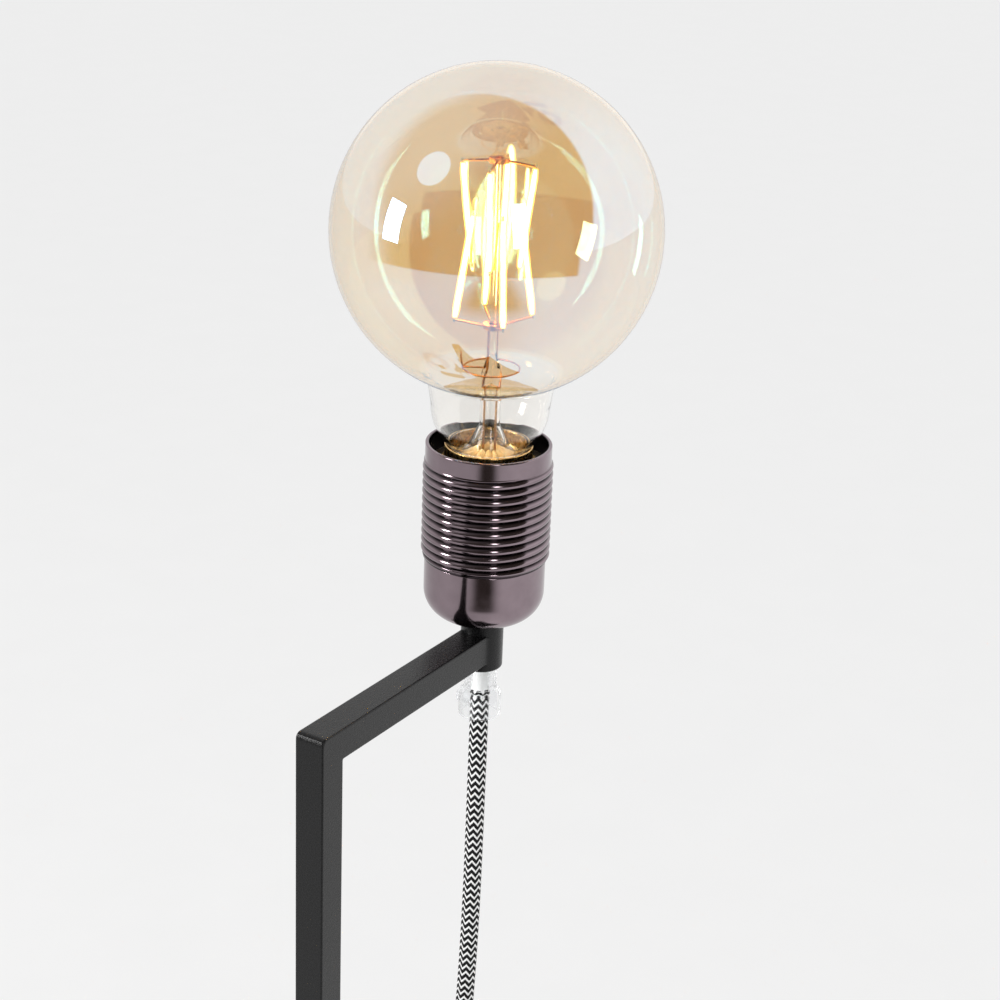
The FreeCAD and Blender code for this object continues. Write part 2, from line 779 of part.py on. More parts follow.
GRIP_FOOT = f"({BOSS_TOP} - boss_length - grip_neck - grip_height)"
place(grip, AXIS, "0", GRIP_FOOT)
keep(grip, "cord_grip")

# Clamp screw: a clear nylon screw in the side of the grip that pinches the cord.
clamp = doc.addObject("Part::Cylinder", "clamp_screw")
clamp.setExpression("Radius", bound("clamp_diameter / 2"))
clamp.setExpression("Height", bound(f"grip_diameter / 2 + clamp_proud - {CORD_BORE}"))
clamp.Placement.Rotation = Rotation(Vector(1, 0, 0), -90)
place(clamp, AXIS, CORD_BORE, f"{GRIP_FOOT} + grip_height / 2")
keep(clamp, "clamp_screw")

# Bulb cap: the screw shell, with a plain skirt at the top that holds the glass.
CAP_TOP = "cap_length"
cap = new_body("bulb_cap")
spin(cap, draw(cap, "XZ_Plane", [
    ("cap_root - cap_wall", "cap_foot"),
    ("cap_root", "cap_foot"),
    ("cap_root", SKIRT_FOOT),
    ("cap_skirt", SKIRT_FOOT),
    ("cap_skirt", CAP_TOP),
    ("cap_skirt - cap_wall", CAP_TOP),
    ("cap_skirt - cap_wall", f"{SKIRT_FOOT} + cap_wall"),
    ("cap_root - cap_wall", f"{SKIRT_FOOT} + cap_wall"),
]))
CAP_RIDGE = "(sleeve_start + screw_pitch * 1.5)"
thread(cap, [
    ("cap_root - cap_wall / 3", f"{CAP_RIDGE} - screw_pitch * 0.27"),
    ("cap_root + cap_ridge", f"{CAP_RIDGE} - screw_pitch * 0.12"),
    ("cap_root + cap_ridge", f"{CAP_RIDGE} + screw_pitch * 0.12"),
    ("cap_root - cap_wall / 3", f"{CAP_RIDGE} + screw_pitch * 0.27"),
], "screw_pitch", f"({SKIRT_FOOT} - {CAP_RIDGE} - thread_lead) / screw_pitch")
place(cap, AXIS, "0", TIP)
keep(cap, "bulb_cap")

# Insulator: the black glass ring in the foot of the cap, with a pocket for the contact button.
turned("cap_insulator", [
    ("0", "button_height + fit_gap"),
    ("button_diameter / 2 + fit_gap", "button_height + fit_gap"),
    ("button_diameter / 2 + fit_gap", "insulator_foot"),
    ("insulator_top / 2 - insulator_taper", "insulator_foot + insulator_rim"),
    ("insulator_top / 2", "cap_foot - insulator_rim"),
    ("cap_root", "cap_foot - insulator_rim"),
    ("cap_root", "cap_foot"),
    ("cap_root - cap_wall - thread_clearance", "cap_foot"),
    ("cap_root - cap_wall - thread_clearance", "cap_foot + insulator_rim"),
    ("0", "cap_foot + insulator_rim"),
], AXIS, "0", TIP)

# Contact button in the middle of the cap's foot.
turned("bulb_contact", [
    ("0", "0"),
    ("button_diameter / 2", "0"),
    ("button_diameter / 2", "button_height"),
    ("0", "button_height"),
], AXIS, "0", TIP)

# Envelope: the blown glass globe with its short throat and the bowl that closes into the cap.
GLOBE = "globe_diameter / 2"
INNER = "(globe_diameter / 2 - glass_wall)"
THROAT = f"(globe_height - sqrt(({GLOBE}) ^ 2 - throat_radius ^ 2))"
THROAT_IN = f"(globe_height - sqrt({INNER} ^ 2 - (throat_radius - glass_wall) ^ 2))"
NECK = "(cap_skirt - cap_wall - neck_gap)"
NECK_IN = f"({NECK} - glass_wall)"
BOWL_IN = "(bowl_radius - glass_wall)"
BOWL_FOOT = "(bowl_lift - cap_top_drop)"
BOWL_HEIGHT = f"({BOWL_FOOT} + sqrt(bowl_radius ^ 2 - {NECK} ^ 2))"
BOWL_FOOT_IN = f"({BOWL_HEIGHT} - sqrt({BOWL_IN} ^ 2 - {NECK_IN} ^ 2))"
NECK_FOOT = "(-cap_top_drop - neck_insert)"
turned("bulb_envelope", [
    (NECK_IN, NECK_FOOT),
    (NECK, NECK_FOOT),
    (NECK, BOWL_FOOT, "bowl_radius", 1),
    ("bowl_radius", BOWL_HEIGHT),
    ("throat_radius", THROAT, GLOBE, 1),
    ("0", f"globe_height + {GLOBE}"),
    ("0", f"globe_height + {INNER}", INNER, -1),
    ("throat_radius - glass_wall", THROAT_IN),
    (BOWL_IN, BOWL_HEIGHT, BOWL_IN, -1),
    (NECK_IN, BOWL_FOOT_IN),
], AXIS, "0", BULB)

# Stem: the clear glass mount, flared to the neck at its foot, pressed flat round the lead wires and
# drawn out to a rod that carries the filaments.
turned("bulb_stem", [
    ("0", NECK_FOOT),
    (f"{NECK_IN} - thread_clearance", NECK_FOOT),
    (f"{NECK_IN} - thread_clearance", f"{NECK_FOOT} + glass_wall"),
    ("stem_radius * 2", f"{NECK_FOOT} + neck_insert"),
    ("stem_radius", "stem_waist"),
    ("stem_radius", "stem_height - stem_press"),
    ("rod_radius", "stem_height"),
    ("rod_radius", "star_height"),
    ("0", "star_height"),
], AXIS, "0", BULB)


def around(radius, turn, height):
    """A point of the bulb, from the holder's axis and the edge of the bulb's cap."""
    angle = math.radians(turn)
    return Vector(axis_x + radius * math.cos(angle), radius * math.sin(angle), number(BULB) + height)


# Supports: a wire star on the rod's top and one below, and the two lead wires from the press.
upper = [number("upper_turn") + 90.0 * count for count in range(4)]
lower = [number("lower_turn") + 90.0 * count for count in range(4)]
for label, height, reach, foot, turns in (
    ("top_star", "star_height", "upper_top_radius", "upper_top_height", upper),
    ("foot_star", "foot_star_height", "lower_foot_radius", "lower_foot_height", lower),
):
    hub = doc.addObject("Part::Cylinder", label + "_hub")
    hub.setExpression("Radius", bound("star_ring"))
    hub.setExpression("Height", bound("support_wire * 2"))
    place(hub, AXIS, "0", f"{BULB} + {height} - support_wire")
    spokes = [hub]
    for count, turn in enumerate(turns):
        inner = around(number("star_ring") * 0.7, turn, number(height))
        outer = around(number(reach), turn, number(foot) + math.copysign(
            number("support_wire") / 2 + number("filament_diameter") * 0.1, number(height) - number(foot)))
        spokes.append(stick(f"{label}_spoke_{count}", inner, outer, "support_wire"))
    star = doc.addObject("Part::MultiFuse", label + "_wires")
    star.Shapes = spokes
    hole = doc.addObject("Part::Cylinder", label + "_hole")
    hole.setExpression("Radius", bound("rod_radius + thread_clearance"))
    hole.setExpression("Height", bound("support_wire * 8"))
    place(hole, AXIS, "0", f"{BULB} + {height} - support_wire * 4")
    bored = doc.addObject("Part::Cut", label)
    bored.Base = star
    bored.Tool = hole
    keep(bored, label)

PRESS_SLOPE = "stem_press / (stem_radius - rod_radius)"
LEAD_FOOT = (
    "stem_height - (lead_spacing / 2 - support_wire / 2 - thread_clearance - rod_radius) * " + PRESS_SLOPE
)
leads = []
for count, turn in enumerate((lower[0] + 45.0, lower[0] + 225.0)):
    start = around(number("lead_spacing") / 2, turn, number(LEAD_FOOT))
    stop = around(number("lead_spacing") / 2, turn, number("foot_star_height - support_wire"))
    leads.append(stick(f"lead_{count}", start, stop, "support_wire"))

# Filaments: eight straight light sticks in two tiers, the upper four leaning out at the top and the
# lower four leaning out at the foot, joined tier to tier by thin wires.
links = []
for count in range(4):
    top = around(number("upper_top_radius"), upper[count], number("upper_top_height"))
    foot = around(number("upper_foot_radius"), upper[count], number("upper_foot_height"))
    keep(stick(f"upper_filament_{count + 1}", foot, top, "filament_diameter"), f"upper_filament_{count + 1}")
    crown = around(number("lower_top_radius"), lower[count], number("lower_top_height"))
    base = around(number("lower_foot_radius"), lower[count], number("lower_foot_height"))
    keep(stick(f"lower_filament_{count + 1}", base, crown, "filament_diameter"), f"lower_filament_{count + 1}")
    beside = number("filament_diameter / 2 + support_wire / 2 + thread_clearance")
    aside = math.copysign(math.degrees(beside), lower[count] - upper[count])
    links.append(stick(
        f"link_{count + 1}",
        around(
            number("upper_foot_radius"),
            upper[count] + aside / number("upper_foot_radius"),
            number("upper_foot_height + support_wire"),
        ),
        around(
            number("lower_top_radius"),
            lower[count] - aside / number("lower_top_radius"),
            number("lower_top_height - support_wire"),
        ),
        "support_wire",
    ))
group("filament_links", links)
group("lead_wires", leads)

# Getter: a small metal flag on a wire from the press.
flag_height = number("stem_height - stem_press")
flag = doc.addObject("Part::Box", "getter_flag")
flag.setExpression("Length", bound("support_wire / 2"))
flag.setExpression("Width", bound("getter_side"))
flag.setExpression("Height", bound("getter_side * 1.3"))
flag.Placement = FreeCAD.Placement(
    around(number("getter_reach"), number("getter_turn"), flag_height),
    Rotation(Vector(0, 0, 1), number("getter_turn")),
    Vector(0, 0, 0),
)
bracket = stick(
    "getter_wire",
    around(number("stem_radius + fit_gap"), number("getter_turn"), flag_height - number("support_wire") / 2),
    around(number("getter_reach") + 0.2, number("getter_turn"), flag_height + number("support_wire") / 2),
    "support_wire",
)
getter = doc.addObject("Part::Fuse", "getter")
getter.Base = flag
getter.Tool = bracket
keep(getter, "getter")

# Driver: the small circuit board upright in the cap, standing on the insulator, with its capacitor.
board = doc.addObject("Part::Box", "driver_board")
board.setExpression("Length", bound("board_width"))
board.setExpression("Width", bound("board_thickness"))
board.setExpression("Height", bound("cap_length - neck_insert - cap_foot - insulator_rim - board_room"))
place(board, f"{AXIS} - board_width / 2", "0", f"{TIP} + cap_foot + insulator_rim")
keep(board, "driver_board")
capacitor = doc.addObject("Part::Cylinder", "driver_capacitor")
capacitor.setExpression("Radius", bound("capacitor_diameter / 2"))
capacitor.setExpression("Height", bound("capacitor_length"))
place(capacitor, AXIS, "board_thickness + capacitor_diameter / 2", f"{TIP} + cap_foot + insulator_rim")
keep(capacitor, "driver_capacitor")

# In-line switch, lower half: a tray with a cavity for the terminals, half a cord entry at each end
# and counterbored holes for the two screws.
SWITCH = boxed("switch_width", "switch_length", "switch_corner")
WINDOW = "(rocker_length + 6 * rocker_gap)"
tray = new_body("switch_base")
pad(tray, draw(tray, "XY_Plane", SWITCH), "switch_split")
soften(tray, "Fillet", "switch_edge", level(0.0))
cut(tray, draw(tray, "XY_Plane", boxed("cavity_width", "cavity_length", "rocker_gap"), lift="switch_split"),
    "switch_split - floor_thickness")
cut(tray, ring(tray, "XZ_Plane", "0", "switch_split", CORD_BORE), "switch_length * 2", middle=True)
for side in ("", "-"):
    x, y = f"{side}joint_x", f"{side}joint_y"
    cut(tray, ring(tray, "XY_Plane", x, y, "joint_screw / 2 + screw_clearance"), "switch_split", forward=True)
    cut(tray, ring(tray, "XY_Plane", x, y, "joint_head / 2 + screw_clearance"), "joint_head_depth", forward=True)
place(tray, "switch_x", "switch_y", "0")
keep(tray, "switch_base")

# Upper half: the cover, with the rocker's window, the other half of each cord entry, the pivot's
# hole and pilot holes for the screws.
cover = new_body("switch_cover")
COVER = "(switch_height - switch_split)"
pad(cover, draw(cover, "XY_Plane", SWITCH), COVER)
soften(cover, "Fillet", "switch_edge", level(number(COVER)))
cut(cover, draw(cover, "XY_Plane", boxed("rocker_width + 2 * rocker_gap", WINDOW, "rocker_gap")),
    COVER, forward=True)
cut(cover, ring(cover, "XZ_Plane", "0", "0", CORD_BORE), "switch_length * 2", middle=True)
cut(cover, ring(cover, "YZ_Plane", "0", "pivot_height - switch_split", "pivot_diameter / 2 + thread_clearance"),
    "pivot_length + 2 * fit_gap", middle=True)
for side in ("", "-"):
    cut(cover, ring(cover, "XY_Plane", f"{side}joint_x", f"{side}joint_y", "joint_screw / 2 + thread_clearance"),
        "joint_length - switch_split + joint_head_depth + fit_gap", forward=True)
place(cover, "switch_x", "switch_y", "switch_split")
keep(cover, "switch_cover")

# Rocker: the key, hollowed along its top, tilted to its stop about the pivot.
rocker = new_body("switch_rocker")
KEY = "rocker_length / 2"
pad(rocker, draw(rocker, "YZ_Plane", [
    (f"-{KEY}", "-rocker_drop"),
    (KEY, "-rocker_drop"),
    (KEY, "rocker_rise"),
    ("0", "rocker_dip"),
    (f"-{KEY}", "rocker_rise"),
]), "rocker_width", middle=True)
cut(rocker, ring(rocker, "YZ_Plane", "0", "0", "pivot_diameter / 2 + pivot_clearance"),
    "rocker_width * 2", middle=True)
rocker.Placement.Rotation = Rotation(Vector(1, 0, 0), 1)
rocker.setExpression("Placement.Rotation.Angle", bound("rocker_tilt"))
place(rocker, "switch_x", "switch_y", "pivot_height")
keep(rocker, "switch_rocker")

# Pivot pin of the rocker, held in the cover.
pivot = doc.addObject("Part::Cylinder", "rocker_pin")
pivot.setExpression("Radius", bound("pivot_diameter / 2"))
pivot.setExpression("Height", bound("pivot_length"))
pivot.Placement.Rotation = Rotation(Vector(0, 1, 0), 90)
place(pivot, "switch_x - pivot_length / 2", "switch_y", "pivot_height")
keep(pivot, "rocker_pin")

# Screws that hold the halves together, from below.
screws = []
for sign in ("+", "-"):
    screw = new_body("joint_screw")
    spin(screw, draw(screw, "XZ_Plane", [
        ("0", "fit_gap"),
        ("joint_head / 2", "fit_gap"),
        ("joint_head / 2", "joint_head_depth"),
        ("joint_screw / 2", "joint_head_depth"),
        ("joint_screw / 2", "joint_head_depth + joint_length"),
        ("0", "joint_head_depth + joint_length"),
    ]))
    place(screw, f"switch_x {sign} joint_x", f"switch_y {sign} joint_y", "0")
    screws.append(screw)
group("switch_screws", screws)

# Terminals: a brass block at each end of the tray, and a contact blade between them under the key.
blocks = []
for sign in ("+", "-"):
    block = doc.addObject("Part::Box", "switch_terminal")
    block.setExpression("Length", bound("cavity_width - 2 * fit_gap"))
    block.setExpression("Width", bound("terminal_length"))
    block.setExpression("Height", bound("terminal_height"))
    place(block, "switch_x - cavity_width / 2 + fit_gap",
          f"switch_y - terminal_length / 2 {sign} ({WINDOW} / 2 - terminal_setback)", "floor_thickness")
    blocks.append(block)
group("switch_terminals", blocks)
blade = doc.addObject("Part::Box", "switch_blade")
blade.setExpression("Length", bound("contact_width"))
blade.setExpression("Width", bound(f"{WINDOW} - 2 * terminal_setback + terminal_length"))
blade.setExpression("Height", bound("blade_thickness"))
place(blade, "switch_x - contact_width / 2",
      f"switch_y - ({WINDOW} - 2 * terminal_setback + terminal_length) / 2", "floor_thickness + terminal_height")
keep(blade, "switch_blade")

# Plug: a flat two-pin plug in one moulding, narrowing to the sleeve that takes the cord. Its own
# frame has the cord's end at the origin and the pins along +X.
plug = new_body("plug_body")
pad(plug, draw(plug, "XY_Plane", [
    ("boot_length", "-plug_tail / 2"),
    ("boot_length + plug_length * 0.6", "-plug_width / 2"),
    ("boot_length + plug_length", "-plug_width / 2"),
    ("boot_length + plug_length", "plug_width / 2"),
    ("boot_length + plug_length * 0.6", "plug_width / 2"),
    ("boot_length", "plug_tail / 2"),
], lift="-plug_thickness / 2"), "plug_thickness")
soften(plug, "Fillet", "plug_edge", level(number("plug_thickness / 2")))
soften(plug, "Fillet", "plug_edge", level(number("-plug_thickness / 2")))
spin(plug, draw(plug, "XY_Plane", [
    ("0", "0"),
    ("0", "boot_end / 2"),
    ("boot_length + plug_edge", "boot_foot / 2"),
    ("boot_length + plug_edge", "0"),
]), "H_Axis")
for side in ("", "-"):
    cut(plug, ring(plug, "YZ_Plane", f"{side}prong_spacing / 2", "0", "prong_core / 2 + thread_clearance",
                   lift="boot_length + plug_length"), "prong_root + fit_gap")
plug.Placement.Rotation = Rotation(Vector(0, 0, 1), 1)
plug.setExpression("Placement.Rotation.Angle", bound("plug_turn"))
place(plug, "plug_x", "plug_y", "plug_thickness / 2")
keep(plug, "plug_body")

# Pins of the plug, each thinner where it is sheathed, and their plastic sheaths.
prongs = []
sheaths = []
for side in (1, -1):
    prong = new_body("prong")
    spin(prong, draw(prong, "XZ_Plane", [
        ("0", "-prong_root"),
        ("prong_core / 2", "-prong_root"),
        ("prong_core / 2", "sheath_length"),
        ("prong_diameter / 2", "sheath_length"),
        ("prong_diameter / 2", "prong_length - prong_diameter / 4"),
        ("prong_diameter / 4", "prong_length"),
        ("0", "prong_length"),
    ]))
    sheath = new_body("sheath")
    spin(sheath, draw(sheath, "XZ_Plane", [
        ("prong_core / 2 + thread_clearance", "0"),
        ("prong_diameter / 2", "0"),
        ("prong_diameter / 2", "sheath_length - thread_clearance"),
        ("prong_core / 2 + thread_clearance", "sheath_length - thread_clearance"),
    ]))
    heading = Rotation(Vector(0, 0, 1), number("plug_turn"))
    seat = heading.multVec(Vector(number("boot_length + plug_length"), side * number("prong_spacing") / 2, 0))
    seat += Vector(number("plug_x"), number("plug_y"), number("plug_thickness") / 2)
    for piece in (prong, sheath):
        piece.Placement = FreeCAD.Placement(seat, heading * Rotation(Vector(0, 1, 0), 90))
    prongs.append(prong)
    sheaths.append(sheath)
group("plug_pins", prongs)
group("pin_sheaths", sheaths)

# Cord: one textile lead. It hangs straight from the grip, sweeps out over the edge of the plate to
# the switch on the table, and goes on to a coil behind the base, whose end carries the plug.
cord = number("cord_diameter")
split = number("switch_split")
cord_x = number("switch_x")
entry = number("switch_y - cavity_length / 2")
leave = number("switch_y + cavity_length / 2")
drop = [
    Vector(axis_x, 0, core_foot),
    Vector(axis_x, 0, 200),
    Vector(26, 0.4, 140),
    Vector(26, 2.5, 92),
    Vector(32, 22, 40),
    Vector(40, 50, 17),
    Vector(cord_x, 76, split),
    Vector(cord_x, entry, split),
]
drop_edges, radii = rounded_path(drop)
tube("cord_drop", drop_edges, cord, "radii " + ", ".join(f"{radius:.0f}" for radius in radii))

layer_low = cord / 2 + number("coil_rest")
coil_top = Vector(number("coil_x"), number("coil_y + coil_radius"), layer_low)
link_end = coil_top + Vector(number("coil_lead"), 0, 0)
link = [
    Vector(cord_x, leave, split),
    Vector(cord_x, 160, split),
    Vector(34, 178, 6),
    Vector(10, link_end.y, link_end.z),
    link_end,
]
link_edges, radii = rounded_path(link)
tube("cord_link", link_edges, cord, "radii " + ", ".join(f"{radius:.0f}" for radius in radii))

turns = number("coil_end - coil_start") / 360.0
half = turns / 2
window = 0.25


def coil_point(along):
    """Centre of the coiled cord after a number of turns.

    The radius shrinks by one step a turn to the middle and grows again; over the half turn about
    the middle the change of radius turns over evenly and the cord climbs to the upper layer.
    """
    step = number("coil_step")
    from_end = min(along, turns - along)
    radius = number("coil_radius") - step * from_end
    height = layer_low + (0 if along < half else number("coil_layer"))
    if abs(along - half) < window:
        share = (along - half + window) / (2 * window)
        into = along - half + window
        radius = number("coil_radius") - step * (half - window) - step * into + step * into ** 2 / (2 * window)
        height = layer_low + number("coil_layer") * share ** 2 * (3 - 2 * share)
    angle = math.radians(number("coil_start") + 360.0 * along)
    return Vector(
        number("coil_x") + radius * math.cos(angle), number("coil_y") + radius * math.sin(angle), height
    )


def biarc(start, ahead, stop, onward):
    """Two tangent arcs from start to stop with the given directions at their ends."""
    span = stop - start
    bend = 2 * (1 - ahead.dot(onward))
    pull = span.dot(ahead + onward)
    reach = (-pull + math.sqrt(pull ** 2 + bend * span.dot(span))) / bend
    knee, hip = start + ahead * reach, stop - onward * reach
    join = (knee + hip) * 0.5
    arcs = []
    for first, apex, last in ((start, knee, join), (join, hip, stop)):
        middle = (first + last) * 0.5
        rise = (apex - middle).Length
        chord = (last - first).Length / 2
        sag = chord * (math.sqrt(rise ** 2 + chord ** 2) - chord) / rise
        arcs.append(Part.Arc(first, middle + (apex - middle).normalize() * sag, last).toShape())
    return arcs


count = round(turns * 4)
spots = [turns * index / count for index in range(count + 1)]
stations = [coil_point(along) for along in spots]
nudge = 1e-4
headings = [(coil_point(along + nudge) - coil_point(along - nudge)).normalize() for along in spots]
headings[0] = Vector(-1, 0, 0)
headings[-1].z = 0
headings[-1].normalize()
coil_edges = [Part.LineSegment(link_end, stations[0]).toShape()]
for index in range(count):
    coil_edges += biarc(stations[index], headings[index], stations[index + 1], headings[index + 1])
coil_exit = stations[-1] + headings[-1] * cord
coil_edges.append(Part.LineSegment(stations[-1], coil_exit).toShape())
coil, coil_wire = tube("cord_coil", coil_edges, cord)
spread = coil_wire.discretize(Distance=1.0)
nearest = min(
    (spread[low] - spread[high]).Length
    for low in range(len(spread))
    for high in range(low + 30, len(spread))
)
print(f"cord_coil: least gap to itself {nearest - cord:.2f}")

plug_way = Rotation(Vector(0, 0, 1), number("plug_turn")).multVec(Vector(1, 0, 0))
plug_end = Vector(number("plug_x"), number("plug_y"), number("plug_thickness") / 2)
tail = [
    coil_exit,
    coil_exit + headings[-1] * 11,
    Vector(-74, 95, 9.4),
    Vector(-66.9, 82.7, 8),
    plug_end - plug_way * 14.6,
    plug_end,
]
tail_edges, radii = rounded_path(tail)
tube("cord_tail", tail_edges, cord, "radii " + ", ".join(f"{radius:.0f}" for radius in radii))

# Tie: a strap round the turns of the coil at one place.
INSIDE = "(coil_radius - coil_step * (coil_end - coil_start) / 720 - cord_diameter / 2 - tie_clearance)"
STRAP = f"(coil_radius + cord_diameter / 2 + tie_clearance - {INSIDE})"
STRAP_RISE = "(coil_layer + cord_diameter + 2 * tie_clearance)"
outside = doc.addObject("Part::Box", "tie_outside")
outside.setExpression("Length", bound(f"{STRAP} + 2 * tie_thickness"))
outside.setExpression("Width", bound("tie_width"))
outside.setExpression("Height", bound(f"{STRAP_RISE} + 2 * tie_thickness"))
outside.Placement.Base = Vector(number(f"{INSIDE} - tie_thickness"), -number("tie_width") / 2,
                                number("coil_rest - tie_clearance - tie_thickness"))
hollow = doc.addObject("Part::Box", "tie_hollow")
hollow.setExpression("Length", bound(STRAP))
hollow.setExpression("Width", bound("tie_width * 2"))
hollow.setExpression("Height", bound(STRAP_RISE))
hollow.Placement.Base = Vector(number(INSIDE), -number("tie_width"), number("coil_rest - tie_clearance"))
tie = doc.addObject("Part::Cut", "cord_tie")
tie.Base = outside
tie.Tool = hollow
tie.Placement = FreeCAD.Placement(
    Vector(number("coil_x"), number("coil_y"), 0), Rotation(Vector(0, 0, 1), number("tie_turn"))
)
keep(tie, "cord_tie")

doc.recompute()
for item in doc.Objects:
    if "Invalid" in item.State or "Error" in item.State:
        raise RuntimeError(f"{item.Label} failed: {item.State}")
for piece in PIECES:
    if piece.Shape.isNull() or not piece.Shape.isValid() or not piece.Shape.Solids:
        raise RuntimeError(f"{piece.Label} has no valid solid")
os.makedirs("parts", exist_ok=True)
for piece in PIECES:
    piece.Shape.exportStep(f"parts/{piece.Label}.step")
print(len(PIECES), "pieces")
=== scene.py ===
# A bare-bulb table lamp: a square bar frame on a steel plate, a screw-shell lamp holder, a tinted globe
# bulb with eight filaments, and a zigzag textile lead with an in-line switch and a plug.
import math

import bmesh
import bpy
import numpy as np
from mathutils import Matrix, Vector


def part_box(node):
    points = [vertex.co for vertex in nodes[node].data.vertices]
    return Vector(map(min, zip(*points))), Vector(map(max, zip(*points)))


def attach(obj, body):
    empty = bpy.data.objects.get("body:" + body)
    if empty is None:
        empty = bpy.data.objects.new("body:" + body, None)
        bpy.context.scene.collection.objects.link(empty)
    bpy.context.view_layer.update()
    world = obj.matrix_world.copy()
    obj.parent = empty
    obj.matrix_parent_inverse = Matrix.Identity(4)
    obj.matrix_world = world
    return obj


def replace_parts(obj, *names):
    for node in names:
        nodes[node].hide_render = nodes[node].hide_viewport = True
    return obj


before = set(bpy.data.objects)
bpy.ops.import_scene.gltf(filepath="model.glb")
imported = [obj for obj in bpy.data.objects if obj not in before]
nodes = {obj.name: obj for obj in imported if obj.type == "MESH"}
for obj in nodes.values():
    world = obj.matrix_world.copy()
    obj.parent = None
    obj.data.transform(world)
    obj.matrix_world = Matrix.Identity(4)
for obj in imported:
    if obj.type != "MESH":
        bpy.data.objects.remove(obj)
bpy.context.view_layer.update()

# Base plate: 6 mm steel plate, sawn square, its edges and corners eased with a file, then powder
# coated black with a fine grain. The post is screwed on from below, so the top is bare.
MM = 0.001


def mm(*sizes):
    """Sizes given in millimetres, in metres."""
    return [size * MM for size in sizes]


def unit(vectors):
    """Vectors scaled to a length of one."""
    return vectors / np.linalg.norm(vectors, axis=-1, keepdims=True)


def softened(corners, steps=6):
    """Points of an outline whose corners (x, y, radius) become arcs tangent to both of their sides.

    An arc's centre lies on the corner's bisector, radius / cos(half the turn) away from it. One more
    point on each side, a fifth of the radius out, keeps flat sides flat under smooth shading. A radius
    of nought keeps a corner as it is.
    """
    spots = np.array(corners, float)
    outline = []
    for index, (x, y, radius) in enumerate(spots):
        here = np.array([x, y])
        if radius == 0:
            outline.append(here[None])
            continue
        back = unit(spots[index - 1, :2] - here)
        ahead = unit(spots[(index + 1) % len(spots), :2] - here)
        turn = math.pi - math.acos(back @ ahead)
        cut = radius * math.tan(turn / 2)
        middle = here + unit(back + ahead) * radius / math.cos(turn / 2)
        way = np.sign(back[1] * ahead[0] - back[0] * ahead[1])
        first = math.atan2(*(here + back * cut - middle)[::-1])
        angle = first + way * turn * np.linspace(0, 1, steps + 1)[:, None]
        outline.append((here + back * (cut + radius / 5))[None])
        outline.append(middle + radius * np.hstack([np.cos(angle), np.sin(angle)]))
        outline.append((here + ahead * (cut + radius / 5))[None])
    return np.concatenate(outline)


def rectangle(half_length, half_width, radius, steps=6):
    """The outline of a rectangle about the origin, its corners rounded by a radius."""
    x, y = half_length, half_width
    return softened([(x, -y, radius), (x, y, radius), (-x, y, radius), (-x, -y, radius)], steps)


def cell_corners(rows, columns):
    """The (row, column) of each cell's four corners, going round it, for so many rows of cells."""
    row, column = np.meshgrid(np.arange(rows), np.arange(columns), indexing="ij")
    return [(row, column), (row, column + 1), (row + 1, column + 1), (row + 1, column)]


def surface(name, grid, shell=False):
    """A closed mesh over a grid of points: rows follow the profile, columns run once round the piece.

    Each cell of four neighbours is a face and the last column meets the first. In a shell the last row
    meets the first too; otherwise each end row is closed onto its middle point. Points that coincide are
    merged, the faces turned outwards, and edges sharper than 40 degrees stay crisp.
    """
    if not shell:
        ends = [np.broadcast_to(row.mean(axis=0), row.shape)[None] for row in (grid[0], grid[-1])]
        grid = np.concatenate([ends[0], grid, ends[1]])
    rows, columns = grid.shape[:2]
    corners = cell_corners(rows if shell else rows - 1, columns)
    cells = np.stack([row % rows * columns + column % columns for row, column in corners], axis=-1)
    mesh = bpy.data.meshes.new(name)
    mesh.from_pydata(grid.reshape(-1, 3).tolist(), [], cells.reshape(-1, 4).tolist(), shade_flat=False)
    build = bmesh.new()
    build.from_mesh(mesh)
    bmesh.ops.remove_doubles(build, verts=build.verts, dist=1e-7)
    bmesh.ops.recalc_face_normals(build, faces=build.faces)
    build.to_mesh(mesh)
    build.free()
    mesh.set_sharp_from_angle(angle=math.radians(40))
    return linked(name, mesh)


def linked(name, data):
    """A new object for a mesh, a camera or a lamp, put into the scene."""
    thing = bpy.data.objects.new(name, data)
    bpy.context.scene.collection.objects.link(thing)
    return thing


def slab(name, node, corner, foot_edge, top_edge):
    """A flat piece that fills a node's box: a rectangle with round corners carried up its edge's profile.

    The profile of (inset, height) is rounded at foot and top by the two edges' radii. Each row is the
    rectangle drawn in by the inset on every side, its corners' radius with it.
    """
    low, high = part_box(node)
    middle = np.array([low.x + high.x, low.y + high.y]) / 2
    turn_in, least = mm(12, 0.05)
    edge = softened([(turn_in, low.z, 0), (0, low.z, foot_edge),
                     (0, high.z, top_edge), (turn_in, high.z, 0)])
    rows = []
    for inset, height in edge:
        outline = rectangle((high.x - low.x) / 2 - inset, (high.y - low.y) / 2 - inset,
                            max(corner - inset, least))
        rows.append(np.column_stack([outline + middle, np.full(len(outline), height)]))
    return surface(name, np.array(rows))


def feed(node, **inputs):
    """Puts numbers or other nodes' sockets on a shader node's inputs.

    An input is named with underscores for spaces, or by its number, as i0.
    """
    for key, value in inputs.items():
        socket = node.inputs[int(key[1:]) if key[1:].isdigit() else key.replace("_", " ")]
        if isinstance(value, bpy.types.NodeSocket):
            node.id_data.links.new(value, socket)
        else:
            socket.default_value = value
    return node


def shade(tree, kind, settings=(), **inputs):
    """A new shader node of a kind, its properties set and its inputs fed."""
    made = tree.nodes.new("ShaderNode" + kind)
    for key, value in dict(settings).items():
        setattr(made, key, value)
    return feed(made, **inputs)


def noise(tree, fineness, **sockets):
    """Noise over the places on a piece, with so many cells a metre."""
    place = shade(tree, "TexCoord").outputs["Object"]
    return shade(tree, "TexNoise", Vector=place, Scale=fineness, **sockets).outputs[0]


